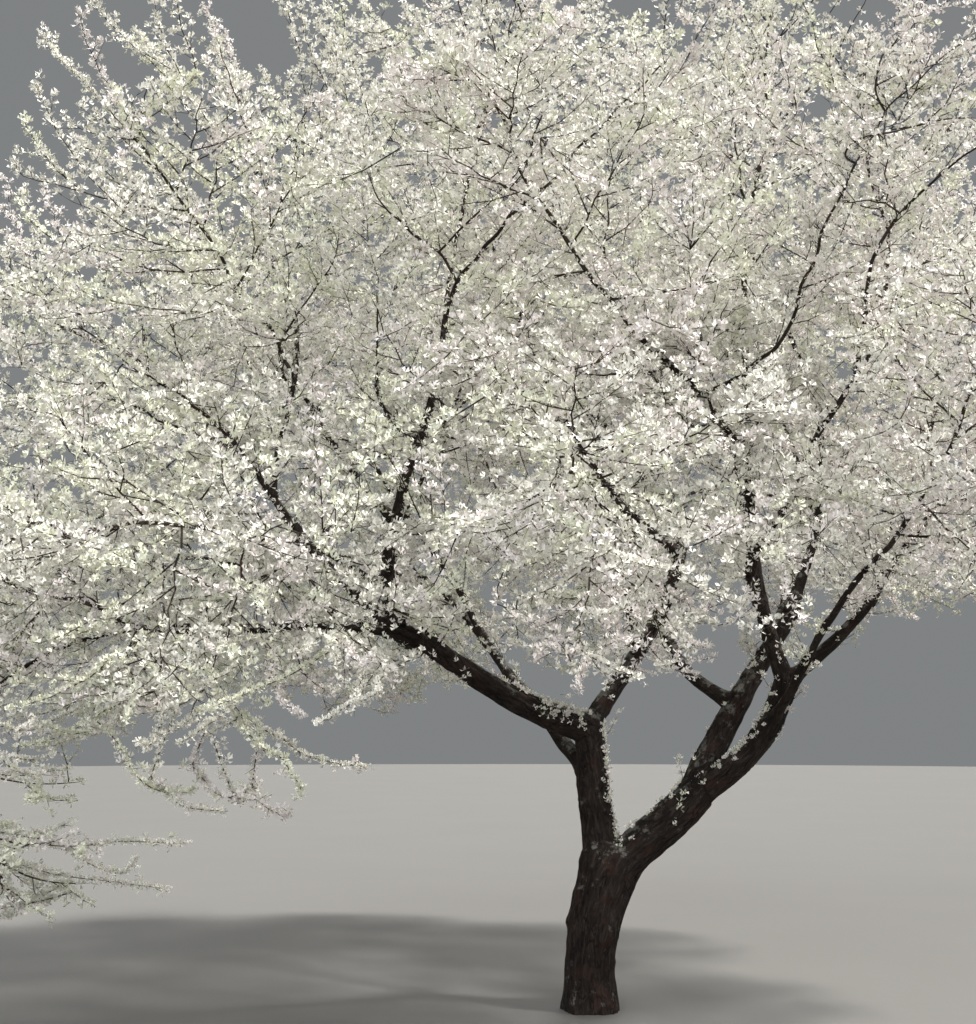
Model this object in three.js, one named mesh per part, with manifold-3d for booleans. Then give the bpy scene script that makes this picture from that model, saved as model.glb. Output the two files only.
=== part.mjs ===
// A white-flowered redbud tree in full bloom: a short leaning trunk that forks low into two limbs,
// the boughs that spread from them, and the masses of blossoming twigs that make its wide crown.
// Millimetres, +Z up. The ground is z = 0, the origin is the middle of the flat cut at the trunk's
// foot, and the tree is seen from -Y.

import * as THREE from "three";
import { mergeVertices } from "three/addons/utils/BufferGeometryUtils.js";
import Module from "manifold-3d";

const wasm = await Module();
wasm.setup();

const clearance = 0.3; // between neighbours that touch on the tree
const barkColor = 0x3a2d28;
const blossomColor = 0xe9e8d8;

const trunkPlan = {
  top: [175, 5, 875], // middle of the fork
  leaves: [0, 90],
  arrives: [5, 62],
  across: [258, 286], // diameter above the root flare and at the fork
  forkSpread: 0.22, // how much wider than deep the fork is
  flare: 0.22, // share by which the foot is wider than the trunk
  flareHeight: 120,
  rootLobes: 5,
  lobeDepth: 0.32, // share of the flare that comes and goes round the foot
  sides: 20,
  bands: 9,
};

// on and at: the limb it leaves, and how far along it. tip: where it ends. leaves and arrives: its
// [turn from +X, rise] in degrees there. across: its diameter at both ends. sides: of its section.
const limbPlan = {
  left_limb: { on: "trunk", at: 0.86, tip: [5, 40, 1600], leaves: [165, 72], arrives: [150, 84], across: [190, 165], sides: 11 },
  right_limb: { on: "trunk", at: 0.8, tip: [610, -50, 1190], leaves: [-8, 50], arrives: [-8, 48], across: [230, 205], sides: 11 },
  left_bough: { on: "left_limb", at: 0.94, tip: [-1110, -700, 2105], leaves: [-150, 12], arrives: [-145, 22], across: [160, 84], sides: 8 },
  left_rise: { on: "left_bough", at: 0.96, tip: [-810, -550, 3720], leaves: [-170, 76], arrives: [70, 84], across: [78, 30], sides: 7 },
  left_low_bough: { on: "left_bough", at: 0.9, tip: [-1930, -1100, 2030], leaves: [-158, 8], arrives: [-152, -4], across: [52, 28], sides: 6 },
  left_hanging_bough: { on: "left_low_bough", at: 0.7, tip: [-3080, -1330, 1560], leaves: [176, 4], arrives: [190, -60], across: [26, 16], sides: 5 },
  left_reach: { on: "left_bough", at: 0.97, tip: [-2000, -200, 3140], leaves: [152, 34], arrives: [147, 48], across: [66, 30], sides: 7 },
  left_top_bough: { on: "left_reach", at: 0.72, tip: [-1690, -250, 3900], leaves: [120, 80], arrives: [150, 66], across: [34, 20], sides: 5 },
  left_back_bough: { on: "left_bough", at: 0.55, tip: [-1850, 620, 2450], leaves: [140, 22], arrives: [165, 30], across: [62, 30], sides: 6 },
  front_left_bough: { on: "left_bough", at: 0.68, tip: [-1250, -1560, 2330], leaves: [-115, 30], arrives: [-120, 14], across: [56, 28], sides: 6 },
  front_middle_bough: { on: "left_rise", at: 0.16, tip: [-930, -1080, 2730], leaves: [-75, 36], arrives: [-66, 40], across: [44, 24], sides: 6 },
  front_left_upper: { on: "left_rise", at: 0.34, tip: [-1560, -1120, 3330], leaves: [-150, 42], arrives: [-130, 50], across: [42, 22], sides: 5 },
  back_left_bough: { on: "left_limb", at: 0.62, tip: [-900, 1420, 2480], leaves: [125, 36], arrives: [120, 30], across: [84, 36], sides: 7 },
  back_left_upper: { on: "back_left_bough", at: 0.66, tip: [-1330, 1060, 3280], leaves: [150, 62], arrives: [140, 52], across: [46, 24], sides: 5 },
  mid_rise: { on: "left_limb", at: 0.95, tip: [605, 350, 2620], leaves: [30, 52], arrives: [32, 74], across: [112, 66], sides: 8 },
  mid_arch: { on: "mid_rise", at: 0.96, tip: [-170, -560, 3260], leaves: [-140, 26], arrives: [-126, 44], across: [50, 26], sides: 6 },
  front_bough: { on: "mid_rise", at: 0.42, tip: [120, -1360, 2560], leaves: [-105, 26], arrives: [-100, 12], across: [52, 28], sides: 6 },
  back_upper: { on: "mid_rise", at: 0.8, tip: [60, 1330, 3300], leaves: [100, 50], arrives: [120, 36], across: [48, 26], sides: 6 },
  back_top_bough: { on: "mid_rise", at: 0.97, tip: [-250, 720, 4050], leaves: [130, 72], arrives: [150, 66], across: [46, 24], sides: 5 },
  inner_limb: { on: "right_limb", at: 0.95, tip: [1250, 300, 2235], leaves: [22, 64], arrives: [26, 52], across: [165, 86], sides: 8 },
  inner_rise: { on: "inner_limb", at: 0.97, tip: [1495, 550, 3000], leaves: [40, 62], arrives: [50, 78], across: [78, 40], sides: 7 },
  back_bough: { on: "inner_limb", at: 0.46, tip: [520, 1420, 2560], leaves: [150, 24], arrives: [98, 26], across: [76, 34], sides: 7 },
  back_right_bough: { on: "inner_limb", at: 0.86, tip: [1560, 1330, 2740], leaves: [75, 28], arrives: [62, 28], across: [60, 30], sides: 6 },
  back_right_upper: { on: "inner_rise", at: 0.55, tip: [1370, 1120, 3560], leaves: [80, 56], arrives: [100, 48], across: [40, 22], sides: 5 },
  outer_limb: { on: "right_limb", at: 0.96, tip: [1080, -300, 1825], leaves: [-20, 32], arrives: [-35, 76], across: [145, 132], sides: 8 },
  right_bough: { on: "outer_limb", at: 0.96, tip: [1525, -600, 2310], leaves: [-20, 40], arrives: [-40, 62], across: [72, 56], sides: 7 },
  right_upper: { on: "right_bough", at: 0.86, tip: [2000, -60, 3260], leaves: [25, 52], arrives: [40, 56], across: [42, 24], sides: 5 },
  right_rise: { on: "outer_limb", at: 0.97, tip: [850, -550, 3190], leaves: [-160, 66], arrives: [-105, 86], across: [98, 44], sides: 8 },
  front_arch: { on: "right_rise", at: 0.86, tip: [230, -1200, 3480], leaves: [-142, 48], arrives: [-128, 14], across: [50, 28], sides: 6 },
  right_middle_bough: { on: "right_rise", at: 0.3, tip: [790, -840, 2650], leaves: [-140, 32], arrives: [-125, 40], across: [46, 24], sides: 6 },
  front_right_upper: { on: "right_rise", at: 0.52, tip: [1330, -1060, 3330], leaves: [-40, 44], arrives: [-48, 40], across: [46, 24], sides: 6 },
  front_right_bough: { on: "outer_limb", at: 0.7, tip: [1330, -1380, 2380], leaves: [-78, 26], arrives: [-72, 22], across: [58, 28], sides: 6 },
};

// on: the bough whose tip feeds the mass. centre and half: its own rounded space. lift: how far its
// twigs turn up, or down where it is below zero.
const massPlan = {
  blossom_left_hanging: { on: "left_hanging_bough", centre: [-2880, -1420, 1080], half: [800, 560, 440], lift: -0.1 },
  blossom_left_low: { on: "left_low_bough", centre: [-2850, -1000, 2330], half: [1300, 1050, 900], lift: -0.05 },
  blossom_front_left_low: { on: "front_left_bough", centre: [-1700, -2050, 2350], half: [1300, 1200, 880], lift: -0.05 },
  blossom_front_low: { on: "front_bough", centre: [-100, -2250, 2560], half: [1200, 1120, 860], lift: 0.02 },
  blossom_front_right_low: { on: "front_right_bough", centre: [1500, -1900, 2880], half: [1200, 1120, 840], lift: 0.08 },
  blossom_right_low: { on: "right_bough", centre: [2250, -500, 2950], half: [1050, 1200, 840], lift: 0.12 },
  blossom_back_right_low: { on: "back_right_bough", centre: [1750, 1600, 2980], half: [1200, 1180, 840], lift: 0.1 },
  blossom_back_low: { on: "back_bough", centre: [200, 2330, 2760], half: [1250, 1080, 900], lift: 0.05 },
  blossom_back_left_low: { on: "back_left_bough", centre: [-1450, 2100, 2450], half: [1250, 1120, 920], lift: 0 },
  blossom_left_back_low: { on: "left_back_bough", centre: [-2780, 900, 2400], half: [1280, 1180, 900], lift: 0 },
  blossom_left: { on: "left_reach", centre: [-2750, 0, 3620], half: [1270, 1080, 980], lift: 0.3 },
  blossom_front_left: { on: "front_left_upper", centre: [-1850, -1420, 3730], half: [1250, 1120, 980], lift: 0.3 },
  blossom_front_middle: { on: "front_middle_bough", centre: [-750, -1420, 3050], half: [950, 1000, 850], lift: 0.25 },
  blossom_front: { on: "front_arch", centre: [-200, -1720, 3950], half: [1180, 1080, 960], lift: 0.3 },
  blossom_front_right: { on: "front_right_upper", centre: [1320, -1280, 4050], half: [1180, 1080, 960], lift: 0.35 },
  blossom_right_middle: { on: "right_middle_bough", centre: [620, -1180, 3080], half: [950, 950, 850], lift: 0.25 },
  blossom_right: { on: "right_upper", centre: [2050, 250, 4000], half: [1050, 1150, 1020], lift: 0.35 },
  blossom_back_right: { on: "back_right_upper", centre: [1120, 1620, 4080], half: [1220, 1080, 960], lift: 0.3 },
  blossom_back: { on: "back_upper", centre: [-450, 1920, 3900], half: [1180, 1080, 960], lift: 0.3 },
  blossom_back_left: { on: "back_left_upper", centre: [-1930, 1420, 3750], half: [1220, 1080, 980], lift: 0.3 },
  blossom_middle: { on: "mid_arch", centre: [-480, -250, 4000], half: [1100, 1050, 950], lift: 0.4 },
  blossom_top_left: { on: "left_top_bough", centre: [-1900, 0, 4750], half: [1280, 1080, 980], lift: 0.45 },
  blossom_top: { on: "left_rise", centre: [-500, -600, 4960], half: [1180, 1080, 1000], lift: 0.5 },
  blossom_top_right: { on: "right_rise", centre: [1000, -420, 4780], half: [1180, 1080, 1180], lift: 0.5 },
  blossom_top_back_right: { on: "inner_rise", centre: [900, 720, 4730], half: [1180, 1020, 1220], lift: 0.5 },
  blossom_top_back: { on: "back_top_bough", centre: [-720, 850, 4960], half: [1280, 1020, 1000], lift: 0.45 },
};

const rule = {
  spaceMargin: 75, // twig lines keep this far inside the wall between two masses
  limbMargin: 14, // and solid twigs this far from the bark of any limb
  stemReach: 0.86, // share of the way to the far side of its space
  stemBands: 4, // straight lines in a stem
  twigs: 12, // side twigs on a stem
  twigSpan: [0.1, 0.97], // stretch of the stem that carries them
  twigAngle: [88, 36], // how far they stand off the stem, near its foot and near its tip
  twigRoll: 137.5, // turn round the stem from one twig to the next
  twigReach: 0.93,
  twigLength: [260, 1180], // shortest and longest
  sprays: 9, // on a side twig, left and right in turn
  spraySpan: [0.14, 0.92],
  sprayAngle: 50,
  sprayLength: [130, 480],
  jitter: 0.5, // share of each spacing and angle that is left to the draw
};

const look = {
  stemTip: 7, // radius
  stemSides: 5,
  twigFoot: 0.6, // radius of a side twig's foot, as a share of the stem's there
  twigRadius: 46, // where its blossom is thickest
  twigBelly: 0.55, // where along it that is
  solidSprays: [3, 4, -1], // of one twig, the next and the third, the spray that is a solid
  sprayHalf: [70, 36], // half width and half depth of a solid spray
  sprayBelly: 0.45, // where along it a spray is widest
  sprayGrowth: 1.3, // a solid spray stands for those beside it and is this much longer
  sunk: 10, // how far the foot of a spray goes past the middle of its twig
  apart: 70, // solid sprays keep this far from one another
};

const up = new THREE.Vector3(0, 0, 1);
const degree = Math.PI / 180;
const vector = (place) => new THREE.Vector3(...place);
const mix = (a, b, share) => a + (b - a) * share;

// The unit vector with that turn from +X and rise above the ground, in degrees.
function toward([turn, rise]) {
  const level = Math.cos(rise * degree);
  return new THREE.Vector3(level * Math.cos(turn * degree), level * Math.sin(turn * degree), Math.sin(rise * degree));
}

// A smooth curve between two places with a direction at each.
function curveBetween(start, leaves, arrives, tip, pull = 0.38) {
  const reach = start.distanceTo(tip) * pull;
  const first = start.clone().addScaledVector(leaves, reach);
  const second = tip.clone().addScaledVector(arrives, -reach);
  return new THREE.CubicBezierCurve3(start, first, second, tip);
}

// Any unit vector square to the given one.
function squareTo(direction) {
  const side = Math.abs(direction.z) < 0.9 ? up : new THREE.Vector3(0, 1, 0);
  return side.clone().cross(direction).normalize();
}

// Lays a unit solid that stands along Y from 0 to 1 along a curve. girth gives the radius at a share of
// the way and an angle round it, side is square to the bend, and extra lengthens both ends.
function lay(unit, curve, girth, side, extra = 0) {
  const geometry = unit.clone();
  const position = geometry.getAttribute("position");
  for (let i = 0; i < position.count; i++) {
    const share = Math.min(1, Math.max(0, position.getY(i)));
    const along = curve.getTangent(share);
    const across = side.clone().addScaledVector(along, -side.dot(along)).normalize();
    const depth = across.clone().cross(along);
    const x = position.getX(i);
    const z = position.getZ(i);
    const angle = Math.atan2(z, x);
    const radius = Math.hypot(x, z) > 1e-6 ? girth(share, angle) : 0;
    const end = share === 0 ? -extra : share === 1 ? extra : 0;
    const place = curve.getPoint(share).addScaledVector(along, end);
    place.addScaledVector(across, Math.cos(angle) * radius).addScaledVector(depth, Math.sin(angle) * radius);
    position.setXYZ(i, place.x, place.y, place.z);
  }
  return geometry;
}

// A closed geometry as a solid that can be joined and cut.
function solidOf(geometry) {
  geometry.deleteAttribute("normal");
  geometry.deleteAttribute("uv");
  const merged = mergeVertices(geometry, 1e-4);
  const vertProperties = merged.getAttribute("position").array;
  const triVerts = new Uint32Array(merged.index.array);
  return new wasm.Manifold(new wasm.Mesh({ numProp: 3, vertProperties, triVerts }));
}

// The largest body of a solid, so loose scraps and sealed hollows go.
function largestOf(solid) {
  const bodies = solid.decompose();
  return bodies.reduce((best, body) => (body.volume() > best.volume() ? body : best));
}

function meshOf(name, solid, material) {
  const { vertProperties, triVerts } = solid.getMesh();
  const geometry = new THREE.BufferGeometry();
  geometry.setAttribute("position", new THREE.BufferAttribute(new Float32Array(vertProperties), 3));
  geometry.setIndex(new THREE.BufferAttribute(new Uint32Array(triVerts), 1));
  geometry.computeVertexNormals();
  const mesh = new THREE.Mesh(geometry, material);
  mesh.name = name;
  return mesh;
}

const unitTube = (sides, bands) => new THREE.CylinderGeometry(1, 1, 1, sides, bands).translate(0, 0.5, 0);

// Moves the middle of a unit solid that stands from 0 to 1 to the given share of its length.
function shiftBelly(geometry, belly) {
  const position = geometry.getAttribute("position");
  for (let i = 0; i < position.count; i++) {
    const y = position.getY(i);
    position.setY(i, y < 0.5 ? y * 2 * belly : mix(belly, 1, y * 2 - 1));
  }
  return geometry;
}

const unitTwig = (belly) => shiftBelly(new THREE.ConeGeometry(1, 1, 3, 2).translate(0, 0.5, 0), belly);
const unitSpray = (belly) => shiftBelly(new THREE.OctahedronGeometry(0.5).translate(0, 0.5, 0), belly);

// The trunk's radius: it tapers up from the flared, lobed foot and widens into the fork.
function trunkGirth(share, angle) {
  const { across, top, flare, flareHeight, rootLobes, lobeDepth, forkSpread } = trunkPlan;
  const height = share * top[2];
  const lobe = 1 + lobeDepth * Math.cos(rootLobes * angle);
  const foot = 1 + flare * lobe * Math.exp(-height / flareHeight);
  const fork = 1 + forkSpread * share * share * Math.abs(Math.sin(angle));
  const crown = share > 0.95 ? 0.86 : 1; // the last ring rounds the crotch off
  return (mix(across[0], across[1], share * share) / 2) * foot * fork * crown;
}

const trunkSide = new THREE.Vector3(0, 1, 0);

function makeTrunk() {
  const { top, leaves, arrives, sides, bands } = trunkPlan;
  const curve = curveBetween(new THREE.Vector3(), toward(leaves), toward(arrives), vector(top));
  const shape = (extra) => solidOf(
    lay(unitTube(sides, bands), curve, (share, angle) => trunkGirth(share, angle) + extra, trunkSide, extra),
  );
  return { name: "trunk", curve, radiusAt: (share) => trunkGirth(share, 0), shape };
}

// A limb swells a little into the one that it leaves, and tapers to its tip.
function makeLimb(name, plan, parent) {
  const start = parent.curve.getPoint(plan.at);
  const leaves = toward(plan.leaves);
  const arrives = toward(plan.arrives);
  const curve = curveBetween(start, leaves, arrives, vector(plan.tip));
  const bend = leaves.clone().cross(arrives);
  const side = bend.length() > 0.05 ? bend.normalize() : squareTo(leaves);
  const bands = Math.max(3, Math.round(curve.getLength() / 300));
  const radiusAt = (share) => mix(plan.across[0], plan.across[1], share) / 2 * (1 + 0.12 * Math.exp(-share * 9));
  const shape = (extra) => solidOf(
    lay(unitTube(plan.sides, bands), curve, (share) => radiusAt(share) + extra, side, extra),
  );
  return { name, curve, radiusAt, shape, side, arrives };
}

function makeLimbs() {
  const limbs = { trunk: makeTrunk() };
  for (const [name, plan] of Object.entries(limbPlan)) {
    limbs[name] = makeLimb(name, plan, limbs[plan.on]);
  }
  return limbs;
}

// Every limb is cut clear of those made before it, so children end on their parent's bark.
function cutLimbs(limbs) {
  const done = [];
  const grown = clearance * 1.5; // flat sides lie nearer the middle than corners do
  for (const limb of Object.values(limbs)) {
    let solid = limb.shape(0);
    for (const earlier of done) {
      const tool = earlier.limb.shape(grown);
      if (solid.intersect(tool).volume() > 0) solid = solid.subtract(tool);
    }
    done.push({ limb, solid: largestOf(solid) });
  }
  return done;
}

// A repeatable draw from 0 to 1, from the whole numbers that place one twig in the tree.
function draw(...keys) {
  let state = 2166136261;
  for (const key of keys) {
    state = Math.imul(state ^ key, 16777619);
    state = Math.imul(state ^ (state >>> 15), 2246822507);
  }
  state ^= state >>> 13;
  return (state >>> 0) / 4294967296;
}

// How far a line runs from a place before it leaves the mass's space: its rounded outline, and the
// walls half way to each neighbouring mass.
function roomAlong(mass, place, direction) {
  const [a, b, c] = mass.half;
  const squash = new THREE.Vector3(1 / a, 1 / b, 1 / c);
  const from = place.clone().sub(mass.centre).multiply(squash);
  const step = direction.clone().multiply(squash);
  const p = step.dot(step);
  const q = from.dot(step);
  const inside = q * q - p * (from.dot(from) - 1);
  if (inside <= 0) return 0;
  let room = (Math.sqrt(inside) - q) / p;
  for (const wall of mass.walls) {
    const gap = wall.offset - wall.normal.dot(place) - rule.spaceMargin;
    const speed = wall.normal.dot(direction);
    if (gap < 0) return 0;
    if (speed > 1e-9) room = Math.min(room, gap / speed);
  }
  return Math.max(0, room);
}

// The straight bits of a limb or stem, to keep the twigs of others clear of its bark.
function bitsOf(curve, steps, radiusAt) {
  return Array.from({ length: steps }, (unused, i) => ({
    start: curve.getPoint(i / steps),
    end: curve.getPoint((i + 1) / steps),
    radius: radiusAt(i / steps),
  }));
}

// The shortest distance between two straight bits.
function apart(a, b, c, d) {
  const u = b.clone().sub(a);
  const v = d.clone().sub(c);
  const w = a.clone().sub(c);
  const uu = u.dot(u);
  const vv = v.dot(v);
  const uv = u.dot(v);
  const uw = u.dot(w);
  const vw = v.dot(w);
  const spread = uu * vv - uv * uv;
  let s = spread > 1e-9 ? Math.min(1, Math.max(0, (uv * vw - vv * uw) / spread)) : 0;
  const t = Math.min(1, Math.max(0, (uv * s + vw) / vv));
  s = Math.min(1, Math.max(0, (uv * t - uw) / uu));
  return w.addScaledVector(u, s).addScaledVector(v, -t).length();
}

const clearOfLimbs = (start, end, radius, bits) =>
  bits.every((bit) => apart(start, end, bit.start, bit.end) > bit.radius + radius + rule.limbMargin);

function makeMasses(limbs) {
  const masses = Object.entries(massPlan).map(([name, plan], key) => ({
    ...plan, name, key, bough: limbs[plan.on], centre: vector(plan.centre), walls: [],
  }));
  for (const mass of masses) {
    for (const other of masses) {
      if (other === mass) continue;
      const normal = other.centre.clone().sub(mass.centre).normalize();
      const middle = other.centre.clone().add(mass.centre).multiplyScalar(0.5);
      mass.walls.push({ normal, offset: normal.dot(middle) });
    }
    mass.stem = stemOf(mass);
    mass.stemGirth = (share) => mix(mass.bough.radiusAt(1), look.stemTip, share);
  }
  const limbBits = Object.values(limbs).flatMap((limb) => bitsOf(limb.curve, 10, limb.radiusAt));
  for (const mass of masses) {
    const others = masses.filter((other) => other !== mass);
    mass.bits = limbBits.concat(others.flatMap((other) => bitsOf(other.stem, rule.stemBands, other.stemGirth)));
  }
  return masses;
}

// The straight lines that a tube of so many bands follows in place of a curve.
function chordsOf(curve, bands) {
  const corners = Array.from({ length: bands + 1 }, (unused, i) => curve.getPoint(i / bands));
  const getPoint = (share) => {
    const i = Math.min(bands - 1, Math.floor(share * bands));
    return corners[i].clone().lerp(corners[i + 1], share * bands - i);
  };
  return { getPoint, getTangent: (share) => curve.getTangent(share) };
}

// The stem runs on from the bough's tip, through the middle of the space, towards its far side.
function stemOf(mass) {
  const tip = mass.bough.curve.getPoint(1);
  const start = tip.clone().addScaledVector(mass.bough.arrives, clearance);
  const across = mass.centre.clone().sub(tip).addScaledVector(up, mass.lift * 200).normalize();
  const reach = roomAlong(mass, mass.centre, across) * rule.stemReach;
  const end = mass.centre.clone().addScaledVector(across, reach);
  return chordsOf(curveBetween(start, mass.bough.arrives, across, end, 0.33), rule.stemBands);
}

// Side twigs stand off the stem all round it, and sprays stand off each twig left and right in turn.
// A twig or spray that would leave the space or touch a limb is skipped.
function growTwigs(mass) {
  const { stem, bits } = mass;
  const twigs = [];
  const wobble = (...keys) => (draw(mass.key, ...keys) - 0.5) * rule.jitter * 2;
  for (let i = 0; i < rule.twigs; i++) {
    const share = mix(...rule.twigSpan, (i + 0.5 + 0.5 * wobble(i, 1)) / rule.twigs);
    const start = stem.getPoint(share);
    const along = stem.getTangent(share);
    const side = squareTo(along);
    const depth = along.clone().cross(side);
    const roll = (i * rule.twigRoll + 60 * wobble(i, 2) + 97 * mass.key) * degree;
    const angle = (mix(...rule.twigAngle, share) + 14 * wobble(i, 3)) * degree;
    const out = side.multiplyScalar(Math.cos(roll)).addScaledVector(depth, Math.sin(roll));
    const heading = along.multiplyScalar(Math.cos(angle)).addScaledVector(out, Math.sin(angle));
    heading.addScaledVector(up, mass.lift * 0.5).normalize();
    const room = roomAlong(mass, start, heading) * rule.twigReach;
    const length = Math.min(room, rule.twigLength[1] * (1 - 0.2 * draw(mass.key, i, 4)));
    if (length < rule.twigLength[0]) continue;
    const end = start.clone().addScaledVector(heading, length);
    if (!clearOfLimbs(start.clone().lerp(end, 0.1), end, look.sprayHalf[0], bits)) continue;
    twigs.push({ key: i, share, start, end, heading, length, sprays: growSprays(mass, i, start, heading, length, wobble) });
  }
  return twigs;
}

function growSprays(mass, twig, start, heading, length, wobble) {
  const sprays = [];
  const flat = squareTo(heading);
  for (let j = 0; j < rule.sprays; j++) {
    const share = mix(...rule.spraySpan, (j + 0.5 + 0.4 * wobble(twig, j, 5)) / rule.sprays);
    const root = start.clone().addScaledVector(heading, length * share);
    const hand = j % 2 ? 1 : -1;
    const out = flat.clone().applyAxisAngle(heading, (55 * wobble(twig, j, 6)) * degree);
    const angle = (rule.sprayAngle + 16 * wobble(twig, j, 7)) * degree;
    const direction = heading.clone().multiplyScalar(Math.cos(angle));
    direction.addScaledVector(out, hand * Math.sin(angle)).addScaledVector(up, mass.lift * 0.5).normalize();
    const wanted = mix(rule.sprayLength[1], rule.sprayLength[0], share * (0.6 + 0.4 * draw(mass.key, twig, j, 8)));
    const room = roomAlong(mass, root, direction);
    sprays.push({ index: j, root, direction, wanted, room });
  }
  return sprays;
}

// One blossoming spray: a flat spindle whose foot is sunk into the wood that carries it.
function spraySolid(root, direction, length, side) {
  const sunk = root.clone().addScaledVector(direction, -look.sunk);
  const line = new THREE.LineCurve3(sunk, root.clone().addScaledVector(direction, length));
  const [width, depth] = look.sprayHalf;
  const thin = Math.min(1, length / 300);
  const girth = (share, angle) => (Math.abs(Math.sin(angle)) > 0.7 ? depth : width) * thin;
  return solidOf(lay(unitSpray(look.sprayBelly), line, girth, side));
}

function massSolid(mass) {
  const { stem, stemGirth, bits } = mass;
  const side = squareTo(mass.bough.arrives);
  const pieces = [solidOf(lay(unitTube(look.stemSides, rule.stemBands), stem, stemGirth, side))];
  const placed = [];
  const free = (start, end, own) => placed.every((other) =>
    other.key === own || apart(start, end, other.start, other.end) > look.apart);
  for (const twig of growTwigs(mass)) {
    const { start, end, heading } = twig;
    if (!free(start.clone().lerp(end, 0.25), end)) continue;
    const footRadius = Math.min(12, look.twigFoot * stemGirth(twig.share));
    const twigGirth = (share) => (share < 0.01 ? footRadius : share > 0.99 ? 0 : look.twigRadius);
    pieces.push(solidOf(lay(unitTwig(look.twigBelly), new THREE.LineCurve3(start, end), twigGirth, squareTo(heading))));
    placed.push({ key: twig.key, start, end });
    for (const spray of twig.sprays) {
      if (spray.index !== look.solidSprays[twig.key % 3]) continue;
      const length = Math.min(spray.room * 0.96, spray.wanted * look.sprayGrowth);
      if (length < rule.sprayLength[0]) continue;
      const tip = spray.root.clone().addScaledVector(spray.direction, length);
      const past = spray.root.clone().lerp(tip, 0.3);
      if (!clearOfLimbs(past, tip, look.sprayHalf[0], bits) || !free(past, tip, twig.key)) continue;
      const flatSide = heading.clone().cross(spray.direction).normalize().cross(spray.direction);
      pieces.push(spraySolid(spray.root, spray.direction, length, flatSide));
      placed.push({ key: `${twig.key} ${spray.index}`, start: past, end: tip });
    }
  }
  return largestOf(pieces.reduce((whole, piece) => whole.add(piece)));
}

const bark = new THREE.MeshStandardMaterial({ color: barkColor, roughness: 0.92, metalness: 0 });
const blossom = new THREE.MeshStandardMaterial({ color: blossomColor, roughness: 0.8, metalness: 0 });

const tree = new THREE.Group();
const limbs = makeLimbs();
for (const { limb, solid } of cutLimbs(limbs)) {
  tree.add(meshOf(limb.name, solid, bark));
}
for (const mass of makeMasses(limbs)) {
  tree.add(meshOf(mass.name, massSolid(mass), blossom));
}

export default tree;
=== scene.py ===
# A white-flowered redbud tree in full bloom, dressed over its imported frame. Bark with relief covers
# the trunk and boughs, twigs grow on from every bough by the frame's own rule and branch on into
# finer ones, and blossom sits along them all. Metres, +Z up, seen from -Y, and the origin is the
# middle of the flat cut under the trunk.

import math

import bmesh
import bpy
import numpy as np
from mathutils.kdtree import KDTree
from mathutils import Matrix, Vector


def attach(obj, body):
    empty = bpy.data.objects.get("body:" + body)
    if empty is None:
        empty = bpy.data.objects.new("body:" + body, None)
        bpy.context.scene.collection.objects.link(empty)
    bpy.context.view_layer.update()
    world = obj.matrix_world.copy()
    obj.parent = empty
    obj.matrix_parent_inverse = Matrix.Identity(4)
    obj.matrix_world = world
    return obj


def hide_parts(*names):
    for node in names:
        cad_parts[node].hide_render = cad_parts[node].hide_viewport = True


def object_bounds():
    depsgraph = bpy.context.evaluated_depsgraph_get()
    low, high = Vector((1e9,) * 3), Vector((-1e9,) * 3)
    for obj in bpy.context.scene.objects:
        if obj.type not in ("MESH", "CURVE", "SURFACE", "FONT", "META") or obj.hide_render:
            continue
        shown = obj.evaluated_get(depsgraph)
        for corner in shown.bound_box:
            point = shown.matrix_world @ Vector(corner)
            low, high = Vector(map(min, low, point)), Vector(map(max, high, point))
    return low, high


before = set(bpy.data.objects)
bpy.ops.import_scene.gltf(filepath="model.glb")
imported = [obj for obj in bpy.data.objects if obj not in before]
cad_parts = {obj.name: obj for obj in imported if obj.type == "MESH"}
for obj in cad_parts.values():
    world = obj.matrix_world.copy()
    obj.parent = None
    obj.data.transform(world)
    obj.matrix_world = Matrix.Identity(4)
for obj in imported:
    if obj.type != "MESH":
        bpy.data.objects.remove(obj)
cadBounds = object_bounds()
print("frame loaded,", len(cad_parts), "parts")

# The trunk, as in the frame.
trunkPlan = dict(
    top=(0.175, 0.005, 0.875), leaves=(0, 90), arrives=(5, 62), across=(0.258, 0.286),
    forkSpread=0.22, flare=0.22, flareHeight=0.12, rootLobes=5, lobeDepth=0.32,
    narrowing=0.14, narrowOver=0.1,
)


# Rows of values as plans, under the words given.
def named(words, rows):
    return {name: dict(zip(words.split(), row)) for name, row in rows.items()}


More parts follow.
